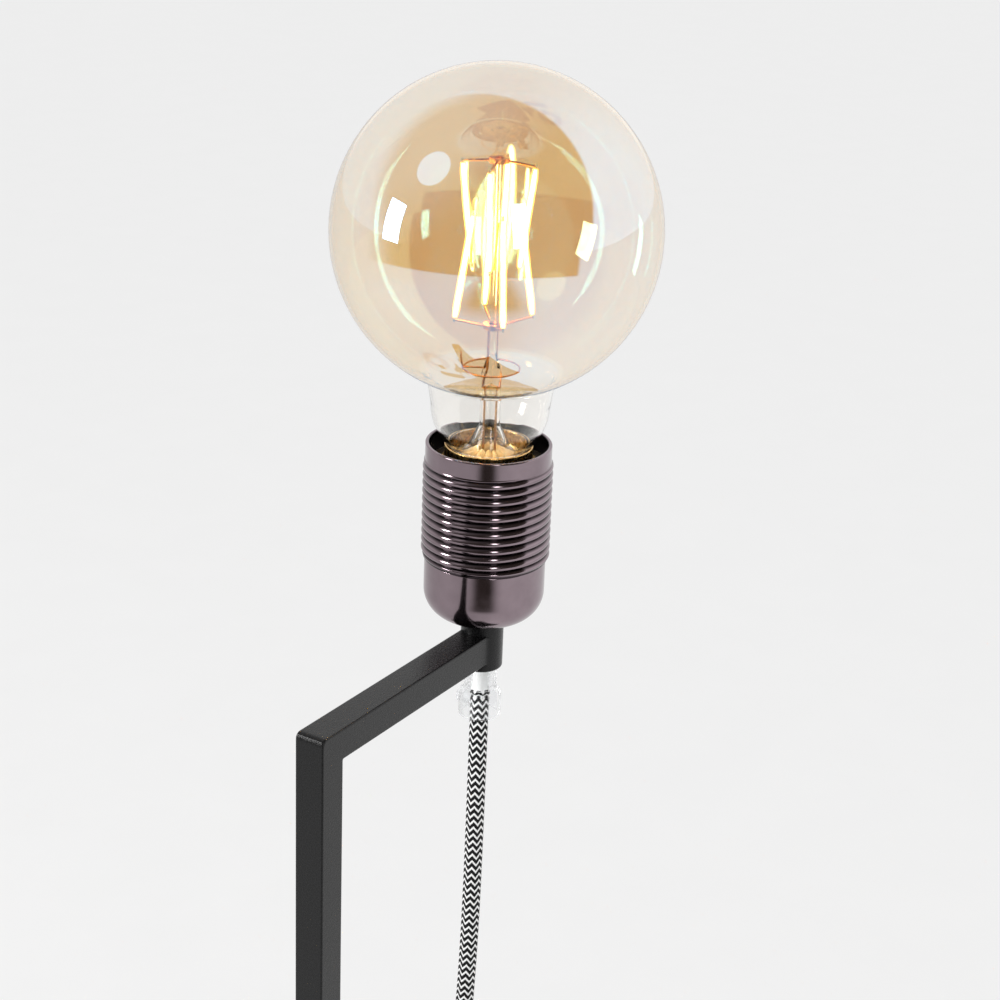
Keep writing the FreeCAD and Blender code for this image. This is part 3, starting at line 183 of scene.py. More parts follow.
def between(share, first, second):
    """A colour from the first to the second, (red, green, blue) or sockets, as the share goes to 1."""
    ends = [(*end, 1) if isinstance(end, tuple) else end for end in (first, second)]
    return shade(share.id_data, "Mix", {"data_type": "RGBA"}, i0=share, i6=ends[0], i7=ends[1]).outputs[2]


def ramp(value, start, end, low=0.0, high=1.0, curve="SMOOTHSTEP"):
    """A number from low to high as the value goes from start to end, along a smooth or a linear curve."""
    return shade(value.id_data, "MapRange", {"interpolation_type": curve}, Value=value, From_Min=start,
                 From_Max=end, To_Min=low, To_Max=high).outputs[0]


def new_finish(name, **sockets):
    """A new material, its node tree and its Principled shader, whose sockets are fed."""
    material = bpy.data.materials.new(name)
    material.use_nodes = True
    tree = material.node_tree
    return material, tree, feed(tree.nodes["Principled BSDF"], **sockets)


def grained(name, dark, light, rough, grain, relief=0.01 * MM, **sockets):
    """A finish with an even grain of one size.

    Noise cells of that size run from the dark colour to the light one, carry the roughness between its
    two ends with them, and stand proud by the relief.
    """
    material, tree, shader = new_finish(name, **sockets)
    cells = noise(tree, 1 / grain, Detail=3.0, Roughness=0.6)
    spread = ramp(cells, 0.32, 0.68, curve="LINEAR")
    bump = shade(tree, "Bump", Height=cells, Distance=relief).outputs[0]
    feed(shader, Base_Color=between(spread, dark, light), Normal=bump,
         Roughness=ramp(spread, 0.0, 1.0, *rough, curve="LINEAR"))
    return material


def fit(piece, material, body, slot, *stands_for):
    """Gives a piece its finish and hangs it on a body, in place of the nodes it stands for."""
    piece.data.materials.append(material)
    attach(piece, body)
    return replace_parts(piece, *stands_for) if stands_for else piece


def finish_nodes(material, *names):
    """Gives CAD nodes their finish."""
    for name in names:
        nodes[name].data.materials.clear()
        nodes[name].data.materials.append(material)


powder_coat = grained("powder_coat", (0.001, 0.001, 0.0012), (0.011, 0.011, 0.0115), (0.2, 0.34),
                      0.45 * MM, 0.07 * MM, Specular_IOR_Level=0.26)
plate = slab("steel_plate", "base_plate", corner=4 * MM, foot_edge=0.8 * MM, top_edge=0.8 * MM)
fit(plate, powder_coat, "frame", "black_powder_coat", "base_plate")

# Felt pad: 2 mm black wool felt, cut with shears and glued under the plate, so its edge is soft and
# a little ragged.
felt = grained("wool_felt", (0.004, 0.004, 0.0045), (0.022, 0.021, 0.021), (0.85, 1.0), 0.35 * MM,
               0.35 * MM, Sheen_Weight=0.4, Sheen_Roughness=0.6)
pad = slab("felt_pad", "base_pad", corner=3 * MM, foot_edge=0.7 * MM, top_edge=0.5 * MM)
fit(pad, felt, "frame", "black_felt", "base_pad")

# Post and arm: one length of 9.5 mm square steel bar each, mitred, welded and ground flush at the
# corner, whose outside is left rounded, then powder coated with the plate.
bar_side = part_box("arm")[1].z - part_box("arm")[0].z
bar_edge, bend, fold = mm(0.5, 1.7, 0.5)
bar_rows, turn_rows = 30, 13


def pairs(first, second):
    """Rows of points (first, second), a single number spread over all the rows."""
    return np.column_stack(np.broadcast_arrays(first, second))


def bar(outer, inner, spread=1.0):
    """Rows of a square bar along a bent path, from matching points (x, z) of its outer and inner sides.

    Each row is a square section with rounded edges, laid across from the outer point to the inner one and
    over the bar's width in y; spread widens it row by row.
    """
    section = rectangle(bar_side / 2, bar_side / 2, bar_edge, steps=5)
    across = section[:, 0] / bar_side + 0.5
    x, z = np.moveaxis(outer[:, None] + (inner - outer)[:, None] * across[:, None], -1, 0)
    y = np.broadcast_to(section[:, 1], x.shape) * np.reshape(spread, (-1, 1))
    return np.stack([x, y, z], axis=-1)


low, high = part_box("post")
fold_height = high.z - bar_side - fold
straight = np.linspace(low.z, fold_height, bar_rows)
share = np.linspace(0, 1, turn_rows)
flat_run = high.z - bend - fold_height
along = share * (flat_run + bend * math.pi / 4)
turn = np.maximum(along - flat_run, 0) / bend
outer_turn = pairs(low.x + bend * (1 - np.cos(turn)),
                   fold_height + np.minimum(along, flat_run) + bend * np.sin(turn))
turn = share * math.pi / 4
inner_turn = pairs(high.x + fold * (1 - np.cos(turn)), fold_height + fold * np.sin(turn))
post = surface("post_bar", bar(np.concatenate([pairs(low.x, straight), outer_turn[1:]]),
                               np.concatenate([pairs(high.x, straight), inner_turn[1:]])))
fit(post, powder_coat, "frame", "black_powder_coat", "post")

# The arm's far end is coped to the boss and welded, with a fillet of weld down each side.
boss_left, boss_right = [corner.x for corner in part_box("boss")]
axis_x, boss_radius = (boss_left + boss_right) / 2, (boss_right - boss_left) / 2
weld, weld_depth = mm(3.0, 0.05)


def mirrored(line):
    """A line of (x, z) points reflected in the mitre: what rises along the post runs along the arm."""
    return pairs(low.x + high.z - line[:, 1], high.z - (line[:, 0] - low.x))


weld_start = -math.sqrt((boss_radius + weld) ** 2 - (bar_side / 2 + weld) ** 2)
weld_run = np.linspace(weld_start, weld_start * boss_radius / (boss_radius + weld), 9)
weld_width = bar_side / 2 + weld - np.sqrt(weld ** 2 - (weld_run - weld_start) ** 2)
plain_run = np.linspace(low.x + bar_side + fold, axis_x + weld_start, bar_rows)[1:-1]
arm_run = np.concatenate([plain_run, axis_x + weld_run])
arm_top = pairs(arm_run, high.z)
arm_grid = bar(
    np.concatenate([mirrored(outer_turn)[::-1], arm_top]),
    np.concatenate([mirrored(inner_turn)[::-1], arm_top - (0, bar_side)]),
    np.concatenate([np.ones(turn_rows + len(plain_run)), weld_width / (bar_side / 2)]),
)
off_middle = np.minimum(abs(arm_grid[..., 1]), 0.9 * boss_radius)
cope = axis_x - np.sqrt((boss_radius - weld_depth) ** 2 - off_middle ** 2)
arm_grid[..., 0] = np.minimum(arm_grid[..., 0], cope)
fit(surface("arm_bar", arm_grid), powder_coat, "frame", "black_powder_coat", "arm")

# Screw and pin under the plate: zinc-plated steel, pulled up into the foot of the post.
zinc = grained("zinc_plate", (0.36, 0.37, 0.4), (0.55, 0.55, 0.56), (0.25, 0.42), 1.2 * MM, Metallic=1.0)
finish_nodes(zinc, "post_screw", "post_pin", "nipple", "holder_nut", "rocker_pin", "switch_screws")

# Boss: a short turned steel barrel at the end of the arm, tapped right through for the pipe nipple
# above and the cord grip below, and coated with the frame.


def full_turn(count):
    """Angles spread evenly over a full turn."""
    return np.linspace(0, 2 * math.pi, count, endpoint=False)


def about_axis(reach, turn, height):
    """Points at distances from the holder's axis, angles round it and heights, spread over one grid."""
    x, y = axis_x + reach * np.cos(turn), reach * np.sin(turn)
    return np.stack(np.broadcast_arrays(x, y, height), axis=-1)


def turned(name, outline, sides=96, ridge=0.0, pitch=1.0, ridged=None, crest=0.8):
    """A turned piece: a closed outline of (radius, height) carried round the holder's axis.

    On the rows marked in ridged, from 0 to 1, a screw ridge stands out by a raised cosine of
    height / pitch - angle / full turn, so it climbs one pitch a turn, right-handed. A crest power
    under one rounds the ridge and narrows the groove.
    """
    angle = full_turn(sides)
    radius, height = outline[:, :1], outline[:, 1:]
    if ridged is not None:
        wave = 0.5 + 0.5 * np.cos(2 * math.pi * height / pitch - angle)
        radius = radius + ridge * ridged[:, None] * wave ** crest
    return surface(name, about_axis(radius, angle, height), shell=True)


low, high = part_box("boss")
thread_bore = 5.05 * MM
boss = turned("boss_barrel", softened([
    (thread_bore, low.z, 0.25 * MM), (boss_radius, low.z, 0.7 * MM),
    (boss_radius, high.z, 0.4 * MM), (thread_bore, high.z, 0.2 * MM)]))
fit(boss, powder_coat, "frame", "black_powder_coat", "boss")

# Holder dome: the pressed steel cup of the lamp holder, plated in a dark pearl and polished. It is
# clamped down on the boss by the nipple's nut.
pearl_plating = {"dark": (0.22, 0.172, 0.192), "light": (0.26, 0.205, 0.228), "rough": (0.1, 0.17),
                 "grain": 9 * MM, "relief": 0.004 * MM, "Metallic": 1.0}
low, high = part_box("holder_dome")
dome_radius, dome_bend, sheet = (high.x - low.x) / 2, 9.0 * MM, 1.1 * MM
dome = turned("pearl_dome", softened([
    (thread_bore, low.z, 0.2 * MM), (dome_radius, low.z, dome_bend), (dome_radius, high.z, 0.3 * MM),
    (dome_radius - sheet, high.z, 0.3 * MM), (dome_radius - sheet, low.z + sheet, dome_bend - sheet),
    (thread_bore, low.z + sheet, 0.2 * MM)], steps=18), sides=160)
fit(dome, grained("black_pearl_plate", **pearl_plating), "frame", "black_pearl", "holder_dome")

# Holder shell: the upper sleeve of the same plate, with a rolled screw ridge for a shade ring below a
# plain band. Its colour holds painted shade: near black in the grooves and on the inside wall. Its spigot
# screws into the dome and its shoulder carries the porcelain insert.
low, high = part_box("holder_shell")
shell_foot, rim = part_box("holder_dome")[1].z, high.z
shell_radius, ridge, groove, ridge_pitch, band = mm(18.7, 0.82, 0.22, 2.55, 5.0)
spigot = dome_radius - sheet - 0.05 * MM


def smooth(share):
    """The smooth step from 0 to 1: 3 t squared less 2 t cubed."""
    return share ** 2 * (3 - 2 * share)


def faded_ends(rows, run):
    """From 0 at the first and last of a row of heights to 1 at a run's distance from them."""
    return np.clip(np.minimum(rows - rows[0], rows[-1] - rows) / run, 0, 1)


def threaded(name, lower, wall, upper, fade, **thread):
    """A turned piece with a screw ridge, faded as given, on the wall between its lower and upper parts."""
    ridged = np.concatenate([np.zeros(len(lower)), fade, np.zeros(len(upper))])
    return turned(name, np.concatenate([lower, wall, upper]), ridged=ridged, **thread)


def maths(operation, first, second=0.0):
    """A Math node's result, from a socket and a second socket or a number."""
    return shade(first.id_data, "Math", {"operation": operation}, i0=first, i1=second).outputs[0]


wall = np.linspace(shell_foot + 0.4 * MM, rim - band, 300)
lower_shell = softened([
    (spigot - sheet, low.z, 0), (spigot, low.z, 0.2 * MM), (spigot, shell_foot, 0.15 * MM),
    (shell_radius, shell_foot, 0.25 * MM), (shell_radius, shell_foot + 0.35 * MM, 0)])
upper_shell = softened([
    (shell_radius, rim - band + 0.1 * MM, 0), (shell_radius, rim, 0.35 * MM),
    (shell_radius - sheet, rim, 0.35 * MM), (shell_radius - sheet, shell_foot + sheet, 0.2 * MM),
    (spigot - sheet, shell_foot + sheet, 0)])
ridge_fade = smooth(faded_ends(wall, 0.45 * ridge_pitch))
shell = threaded("pearl_shell", lower_shell, pairs(shell_radius - groove * ridge_fade, wall), upper_shell,
                 ridge_fade, sides=180, ridge=ridge, pitch=ridge_pitch, crest=0.45)
pearl_ridges = grained("black_pearl_ridges", **pearl_plating)
tree = pearl_ridges.node_tree
place = shade(tree, "TexCoord").outputs["Object"]
spoke = shade(tree, "VectorMath", {"operation": "MULTIPLY_ADD"}, i0=place, i1=(1, 1, 0),
              i2=(-axis_x, 0, 0))
reach = shade(tree, "VectorMath", {"operation": "LENGTH"}, i0=spoke.outputs[0]).outputs["Value"]
# Painted shade: the colour goes near black in the grooves below the band and on the inner wall.
deep = ramp(reach, shell_radius + 0.55 * MM, shell_radius - 0.1 * MM, high=0.95)
height = shade(tree, "SeparateXYZ", Vector=place).outputs["Z"]
below_band = ramp(height, rim - band - 0.5 * MM, rim - band - 0.8 * MM, curve="LINEAR")
inside = ramp(reach, shell_radius - 0.8 * MM, shell_radius - 1.0 * MM, curve="LINEAR")
groove_shade = maths("MAXIMUM", maths("MULTIPLY", deep, below_band), inside)
shader = tree.nodes["Principled BSDF"]
plating = shader.inputs["Base Color"].links[0].from_socket
feed(shader, Base_Color=between(groove_shade, plating, (0.016, 0.012, 0.014)))
fit(shell, pearl_ridges, "frame", "black_pearl", "holder_shell")

# Inside the holder: a porcelain insert, a black insulating liner, the brass screw sleeve and sprung
# contact, two terminal screws and the cord's two cores.
porcelain = grained("porcelain", (0.7, 0.69, 0.66), (0.8, 0.79, 0.77), (0.12, 0.25), 2 * MM, 0.02 * MM)
finish_nodes(porcelain, "holder_insert")
insulation = grained("black_insulation", (0.004, 0.004, 0.004), (0.012, 0.012, 0.012), (0.4, 0.6),
                     1 * MM, 0.02 * MM)
brass = grained("brass", (0.72, 0.46, 0.17), (0.83, 0.56, 0.24), (0.2, 0.36), 1.5 * MM, Metallic=1.0)
finish_nodes(insulation, "holder_liner")
finish_nodes(brass, "screw_sleeve", "centre_contact", "terminal_screws", "switch_terminals",
             "switch_blade")
for node, colour, dark, light in (("live_wire", "brown", (0.12, 0.045, 0.02), (0.16, 0.06, 0.03)),
                                  ("neutral_wire", "blue", (0.02, 0.06, 0.24), (0.03, 0.08, 0.3))):
    finish_nodes(grained(colour + "_core", dark, light, (0.4, 0.5), 1 * MM), node)

# Bulb cap: a thin brass screw shell, its thread rolled in, with a plain skirt that is cemented to the
# neck of the glass. A black glass ring and a nickel button close its foot.
low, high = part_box("bulb_cap")
cap_root, cap_ridge, cap_wall, screw_pitch, cap_skirt = mm(12.05, 1.0, 0.5, 3.629, 13.1)
skirt_foot = high.z - 6.0 * MM
screw_rows = np.linspace(low.z + 0.8 * MM, skirt_foot - 0.8 * MM, 70)
cap_lower = softened([
    (cap_root - cap_wall, low.z, 0), (cap_root, low.z, 0.2 * MM), (cap_root, low.z + 0.7 * MM, 0)])
cap_upper = softened([
    (cap_root, skirt_foot - 0.7 * MM, 0), (cap_root, skirt_foot, 0.4 * MM),
    (cap_skirt, skirt_foot, 0.4 * MM), (cap_skirt, high.z, 0.2 * MM),
    (cap_skirt - cap_wall, high.z, 0.2 * MM), (cap_skirt - cap_wall, skirt_foot + cap_wall, 0.3 * MM),
    (cap_root - cap_wall, skirt_foot + cap_wall, 0.2 * MM),
    (cap_root - cap_wall, skirt_foot - 1.2 * MM, 0)])
cap = threaded("brass_cap", cap_lower, pairs(cap_root, screw_rows), cap_upper,
               faded_ends(screw_rows, 0.5 * screw_pitch), sides=120, ridge=cap_ridge, pitch=screw_pitch)
fit(cap, brass, "bulb", "brass", "bulb_cap")
nickel = grained("nickel_wire", (0.42, 0.4, 0.37), (0.58, 0.55, 0.5), (0.22, 0.4), 0.8 * MM, Metallic=1.0)
copper = grained("copper_wire", (0.54, 0.27, 0.11), (0.7, 0.4, 0.18), (0.25, 0.4), 0.8 * MM, Metallic=1.0)
finish_nodes(grained("black_glass", (0.004, 0.004, 0.006), (0.012, 0.011, 0.016), (0.06, 0.16), 3 * MM),
             "cap_insulator")
finish_nodes(nickel, "bulb_contact", "plug_pins")
finish_nodes(copper, "top_star", "foot_star", "filament_links", "lead_wires")

# Globe: blown glass 95 mm across, drawn in to a short throat and a bowl that closes into the cap. A thin
# metal film on it lets amber light through and throws the bluish rest back, so it mirrors the room. The
# film ends above the throat, and the bowl is clear.


def glass(name, light_tint, deep_tint, cloud, **sockets):
    """Glass whose tint drifts between two colours in soft clouds, and which lets lamps shine through it.

    A shadow ray meets a transparent pane of the light tint, any other ray the Principled glass.
    """
    material, tree, shader = new_finish(name, Transmission_Weight=1.0, **sockets)
    feed(shader, Base_Color=between(noise(tree, 1 / cloud, Detail=1.0), light_tint, deep_tint))
    shadow = shade(tree, "LightPath").outputs["Is Shadow Ray"]
    clear = shade(tree, "BsdfTransparent", Color=(*light_tint, 1)).outputs[0]
    both = shade(tree, "MixShader", i0=shadow, i1=shader.outputs[0], i2=clear).outputs[0]
    feed(tree.nodes["Material Output"], Surface=both)
    return material


amber_glass = glass("amber_glass", (0.953, 0.88, 0.731), (0.943, 0.86, 0.691), 60 * MM, Roughness=0.0,
                    IOR=3.8, Specular_Tint=(0.22, 0.55, 1.0, 1))
clear_glass = glass("clear_glass", (0.985, 0.975, 0.955), (0.97, 0.955, 0.93), 6 * MM, Roughness=0.0,
                    IOR=1.45)
globe_radius, glass_wall, globe_rise = mm(47.5, 0.9, 63.5)
neck, neck_foot, bowl, bowl_height = mm(12.4, -5.5, 17.5, 12.0)
throat, throat_run, throat_top = mm(18.9, 8.1, 17.0)
seam_height, seam_spread, seam_blend = mm(20.5, 6.0, 0.9)
film_foot = rim + 21.2 * MM


def globe_line(inset):
    """The globe's profile from the neck's foot up to the crown, drawn in by an inset, as (radius, height).

    Bowl and globe are circle arcs. Between them the throat is the larger of a plain wall and the globe,
    blended by half of (sum + root of (difference squared + blend squared)).
    """
    small, large = bowl - inset, globe_radius - inset
    bowl_turn = np.linspace(math.asin((neck - inset) / small), math.pi / 2, 16)
    bowl_line = pairs(small * np.sin(bowl_turn), bowl_height - small * np.cos(bowl_turn))
    wall_height = np.linspace(bowl_height, throat_top, 9)[1:]
    opening = math.acos((globe_rise - wall_height[-1]) / large)
    globe_turn = np.concatenate([np.linspace(opening, opening + 0.2, 16)[1:],
                                 np.linspace(opening + 0.2, math.pi, 84)[1:]])
    heights = np.concatenate([wall_height, globe_rise - large * np.cos(globe_turn)])
    ball = np.sqrt(np.maximum(large ** 2 - (heights - globe_rise) ** 2, 0))
    plain = small + (throat - bowl) * np.clip((heights - bowl_height) / throat_run, 0, 1.2)
    blend = seam_blend * np.exp(-((heights - seam_height) / seam_spread) ** 2)
    radius = (plain + ball + np.sqrt((plain - ball) ** 2 + blend ** 2)) / 2
    radius = np.where(heights > globe_rise, ball, radius)
    neck_line = pairs(neck - inset, np.linspace(neck_foot, bowl_line[0, 1], 6)[:-1])
    return np.concatenate([neck_line, bowl_line, pairs(radius, heights)])


def face_finishes(piece, chosen):
    """Sets which of a piece's finishes each face has, worked out from the faces' middle points."""
    middles = np.empty(len(piece.data.polygons) * 3)
    piece.data.polygons.foreach_get("center", middles)
    piece.data.polygons.foreach_set("material_index", chosen(middles.reshape(-1, 3)).astype(np.int32))


globe_outline = np.concatenate([globe_line(0.0), globe_line(glass_wall)[::-1]]) + (0, rim)
globe = turned("amber_globe", globe_outline, sides=192)
fit(globe, amber_glass, "bulb", "amber_glass", "bulb_envelope")
globe.data.materials.append(clear_glass)
face_finishes(globe, lambda middles: middles[:, 2] < film_foot)

# Stem: a clear glass tube, flared to the neck, closed round the lead wires and drawn out to the rod
# that carries the filaments.
flare, flare_bore, stem_radius, stem_bore, rod_radius, rod_top = mm(11.4, 10.6, 3, 2.2, 1.2, 84)
stem = turned("glass_stem", softened([
    (flare_bore, neck_foot, 0.2 * MM), (flare, neck_foot, 0.3 * MM), (flare, *mm(-4.6, 0.3)),
    mm(6, -0.5, 3), (stem_radius, *mm(6, 3)), (stem_radius, *mm(21, 3)), (rod_radius, *mm(27, 3)),
    (rod_radius, rod_top, 0.6 * MM), (0, rod_top, 0), mm(0, 18, 0), (stem_bore, *mm(16, 1)),
    (stem_bore, *mm(5.6, 3)), mm(5.2, -1.3, 3), (flare_bore, *mm(-5.1, 0.1))]) + (0, rim), sides=64)
fit(stem, clear_glass, "bulb", "clear_glass", "bulb_stem")

# Leads and cement: two copper leads run up inside the stem, bend out through the closed glass and go on
# as the lead wires. At their foot a wrinkled cone of gilded cement holds the glass in the cap.


def around(radius, turn, height):
    """A point of the bulb: out from the axis at an angle in degrees, and up from the holder's rim."""
    return about_axis(radius, math.radians(turn), rim + height)


def along_line(start, end, profile, sides):
    """Rows of a round stick between two points: a profile of (radius, distance from the start)."""
    way = unit(end - start)
    side = unit(np.cross(way, (0.36, 0.48, 0.8)))
    angle = full_turn(sides)[:, None]
    ring = np.cos(angle) * side + np.sin(angle) * np.cross(way, side)
    return start + profile[:, 1, None, None] * way + profile[:, 0, None, None] * ring


def joined(name, *parts):
    """One piece from several closed parts that are welded or moulded together."""
    build = bmesh.new()
    for part in parts:
        build.from_mesh(part.data)
        bpy.data.objects.remove(part)
    mesh = bpy.data.meshes.new(name)
    build.to_mesh(mesh)
    build.free()
    return linked(name, mesh)


lead_turn, lead_twist, lead_wire = 301.7, 59.2, 0.35 * MM
lead_rise = np.linspace(*mm(-5.2, 24.8), 61)
lead_bend = smooth(np.clip((lead_rise - 15 * MM) / (9 * MM), 0, 1))
lead_reach = (1.75 + 0.65 * lead_bend) * MM
ring_turn = full_turn(12)
lead_ring = lead_wire * np.column_stack([np.cos(ring_turn), np.sin(ring_turn), 0 * ring_turn])
leads = []
for number, first_turn in enumerate((lead_turn, lead_turn - 180)):
    lead_line = about_axis(lead_reach, np.radians(first_turn + lead_twist * lead_bend), rim + lead_rise)
    leads.append(surface(f"stem_lead_{number}", lead_line[:, None] + lead_ring))
fit(joined("stem_leads", *leads), copper, "bulb", "brass")
cement_reach, cement_bore, cement_foot, cement_rim, fold_depth = mm(11.3, 3.4, -7.3, -6.9, 1.0)
cement_slope = 0.55
fold_turn = full_turn(234)
fold_reach = np.linspace(cement_reach, cement_bore, 12)[:, None]
folds = abs(np.sin(6.5 * fold_turn + 0.5 * np.sin(3 * fold_turn))) * (1.3 - 0.6 * fold_reach / cement_reach)
cement_top = cement_rim + cement_slope * (cement_reach - fold_reach) + fold_depth * folds
cement = surface("cap_cement", about_axis(
    np.concatenate([[[cement_bore], [cement_reach]], fold_reach]), fold_turn,
    rim + np.concatenate([np.full((2, len(fold_turn)), cement_foot), cement_top])), shell=True)
gilt = grained("gilt_cement", (0.96, 0.62, 0.24), (1.0, 0.84, 0.5), (0.25, 0.5), 1.6 * MM, 0.3 * MM,
               Metallic=0.15)
fit(cement, gilt, "bulb", "brass")

# Filaments: eight lit strips, each cast into a translucent yellow coat, in two tiers of four. The upper
# ones lean out at the top and the lower ones at the foot, welded to the wires by a metal tab at each end.


def glowing(name, dark, light, fineness, glow, strength, **sockets):
    """A lit finish: specks, so many a metre, from a dark colour to a light one, and an even glow."""
    material, tree, shader = new_finish(name, Emission_Color=(*glow, 1), Emission_Strength=strength,
                                        **sockets)
    feed(shader, Base_Color=between(noise(tree, fineness, Detail=2.0), dark, light))
    return material


def two_ended(points, length):
    """A stick's profile from its first end's points (radius, distance, rounding), the other end alike."""
    return softened(points + [(radius, length - run, rounding) for radius, run, rounding in points[::-1]])


lit_strip = glowing("lit_strip", (0.9, 0.6, 0.14), (0.95, 0.72, 0.24), 900.0, (1.0, 0.66, 0.34), 42.0,
                    Roughness=0.5)
yellow_coat = glowing("yellow_coat", (0.92, 0.6, 0.12), (0.95, 0.7, 0.22), 700.0, (1.0, 0.68, 0.22), 2.4,
                      Roughness=0.4, Alpha=0.4)
tab, tab_reach, seat, taper, taper_bend = mm(0.3, 1.2, 0.3, 2.6, 1.2)
strip, strip_tip, coat, coat_tip, coat_bore = mm(0.68, 0.42, 1.05, 0.72, 0.31)
strip_end = [(tab, -tab_reach, 0), (tab, seat, 0.02 * MM), (strip_tip, seat, 0.08 * MM),
             (strip, taper, taper_bend)]
coat_end = [(coat_bore, 0, 0), (coat_tip, 0, 0.3 * MM), (coat, taper, taper_bend)]
tiers = (("upper", -71.4, mm(7, 53.5), mm(10.5, 82.5)), ("lower", -44.1, mm(11.5, 38.5), mm(7, 68.5)))
for number in range(4):
    for tier, first_turn, *ends in tiers:
        foot, top = [around(reach, first_turn + 90 * number, rise) for reach, rise in ends]
        length = np.linalg.norm(top - foot)
        core = surface("lit_core", along_line(foot, top, two_ended(strip_end, length), 20))
        face_finishes(core, lambda middles: abs((middles - foot) @ (top - foot) / length ** 2 - 0.5) > 0.5)
        cover = surface("coat_cover", along_line(foot, top, two_ended(coat_end, length), 24))
        face_finishes(cover, lambda middles: np.full(len(middles), 2))
        filament = joined(f"{tier}_light_stick_{number + 1}", core, cover)
        fit(filament, lit_strip, "bulb", "lit_filament", f"{tier}_filament_{number + 1}")
        filament.data.materials.append(nickel)
        filament.data.materials.append(yellow_coat)

# Getter: a fine wire ring on a bracket from the stem, with a small flag standing on it, which leans
# outwards as it rises.
getter_rise, getter_reach, getter_wire, getter_start = mm(22.6, 8.2, 0.25, 2.3)
flag_turn, flag_top = 121.3, 4.4 * MM
wire_turn = full_turn(10)
getter_ring = surface("getter_ring", about_axis(
    getter_reach + getter_wire * np.cos(wire_turn), full_turn(72)[:, None],
    rim + getter_rise + getter_wire * np.sin(wire_turn)), shell=True)
bracket = surface("getter_bracket", along_line(
    around(getter_start, flag_turn, getter_rise), around(getter_reach, flag_turn, getter_rise),
    np.array([(getter_wire, 0), (getter_wire, getter_reach - getter_start)]), 10))
flag_out = np.array([math.cos(math.radians(flag_turn)), math.sin(math.radians(flag_turn)), 0])
flag_side = np.array([-flag_out[1], flag_out[0], 0])
flag_section = rectangle(*mm(1.7, 0.15, 0.1), steps=3)
flag_rise = np.linspace(-0.2 * MM, flag_top, 9)
flag_lean = 0.6 * MM * np.sin(flag_rise / flag_top * math.pi / 2)
flag = surface("getter_flag", (
    around(8.5 * MM, flag_turn, getter_rise) + flag_section[None, :, :1] * flag_side
    + (flag_section[None, :, 1:] + flag_lean[:, None, None]) * flag_out
    + flag_rise[:, None, None] * np.array([0, 0, 1.0])))
fit(joined("getter_loop", getter_ring, bracket, flag), copper, "bulb", "brass", "getter")

# Driver: the small circuit board and its capacitor, out of sight in the cap.
finish_nodes(grained("green_board", (0.01, 0.09, 0.03), (0.02, 0.14, 0.05), (0.3, 0.5), *mm(1.5, 0.02)),
             "driver_board")
finish_nodes(insulation, "driver_capacitor")

# Cord grip: a clear moulded tube that screws into the boss from below, hollow, with a clear nylon
# screw through its side that pinches the cord.
clear_plastic = glass("clear_plastic", (0.97, 0.975, 0.98), (0.94, 0.945, 0.95), 5 * MM, Roughness=0.25,
                      IOR=1.17)
low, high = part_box("cord_grip")
grip_radius, grip_thread, grip_bore, thread_hole = mm(6.5, 4.55, 5.5, 3.6)
grip_top = low.z + 8 * MM
grip_rows = np.linspace(grip_top + 0.9 * MM, high.z - 0.5 * MM, 130)
grip_lower = softened([
    (grip_bore, low.z, 0), (grip_radius, low.z, 0.4 * MM), (grip_radius, grip_top, 0.9 * MM),
    (grip_thread, grip_top, 0.3 * MM), (grip_thread, grip_top + 0.8 * MM, 0)])
grip_upper = softened([
    (grip_thread, high.z - 0.4 * MM, 0), (grip_thread, high.z, 0.2 * MM), (thread_hole, high.z, 0.2 * MM),
    (thread_hole, grip_top + 0.2 * MM, 0.6 * MM), (grip_bore, grip_top - 1.2 * MM, 0.6 * MM),
    (grip_bore, low.z, 0)])
grip = threaded("clear_grip", grip_lower, pairs(grip_thread, grip_rows), grip_upper,
                faded_ends(grip_rows, 0.6 * MM), sides=120, ridge=0.45 * MM, pitch=1.25 * MM)
fit(grip, clear_plastic, "frame", "clear_plastic", "cord_grip")
finish_nodes(clear_plastic, "clamp_screw")

# Cord: two cores in a round white sheath under a braided textile, black zigzags on white, 5.8 mm
# thick. It hangs from the grip, sweeps to the switch, and ends in a tied coil and a plug.
drop_route = [
    (0.026, 0.0, 0.242), (0.026, 0.0, 0.2), (0.026, 0.0004, 0.14), (0.026, 0.0025, 0.092),
    (0.032, 0.022, 0.04), (0.04, 0.05, 0.017), (0.047, 0.076, 0.008), (0.047, 0.096, 0.008)]
link_route = [
    (0.047, 0.14, 0.008), (0.047, 0.16, 0.008), (0.034, 0.178, 0.006), (0.01, 0.183, 0.0039),
    (-0.013, 0.183, 0.0039)]
tail_route = [
    (-0.0734, 0.1242, 0.0104), (-0.074, 0.095, 0.0094), (-0.0669, 0.0827, 0.008),
    (-0.0546, 0.0755, 0.0069), (-0.04, 0.0755, 0.0069)]
coil_middle, coil_radius, coil_step = (-0.031, 0.141), 0.042, 0.0065
coil_low, coil_layer, coil_turns, coil_window, turn_points = 0.0039, 0.0065, 6.25, 0.25, 24


def coil_route(turns):
    """Points of the coil after each number of turns.

    The radius shrinks by one step a turn to the middle and grows again. Over the half turn about the middle
    that change turns over evenly and the cord climbs to the upper layer. Points lie outside the cord's own
    circle by 1 / cos(half their spacing), because the curve runs inside its points.
    """
    half = coil_turns / 2
    into = np.clip(turns - half + coil_window, 0, 2 * coil_window)
    inner = half - coil_window + into - into ** 2 / (2 * coil_window)
    steps_in = np.where(abs(turns - half) < coil_window, inner, np.minimum(turns, coil_turns - turns))
    radius = (coil_radius - coil_step * steps_in) / math.cos(math.pi / turn_points)
    angle = math.pi / 2 + 2 * math.pi * turns
    return np.column_stack([coil_middle[0] + radius * np.cos(angle),
                            coil_middle[1] + radius * np.sin(angle),
                            coil_low + coil_layer * smooth(into / (2 * coil_window))])


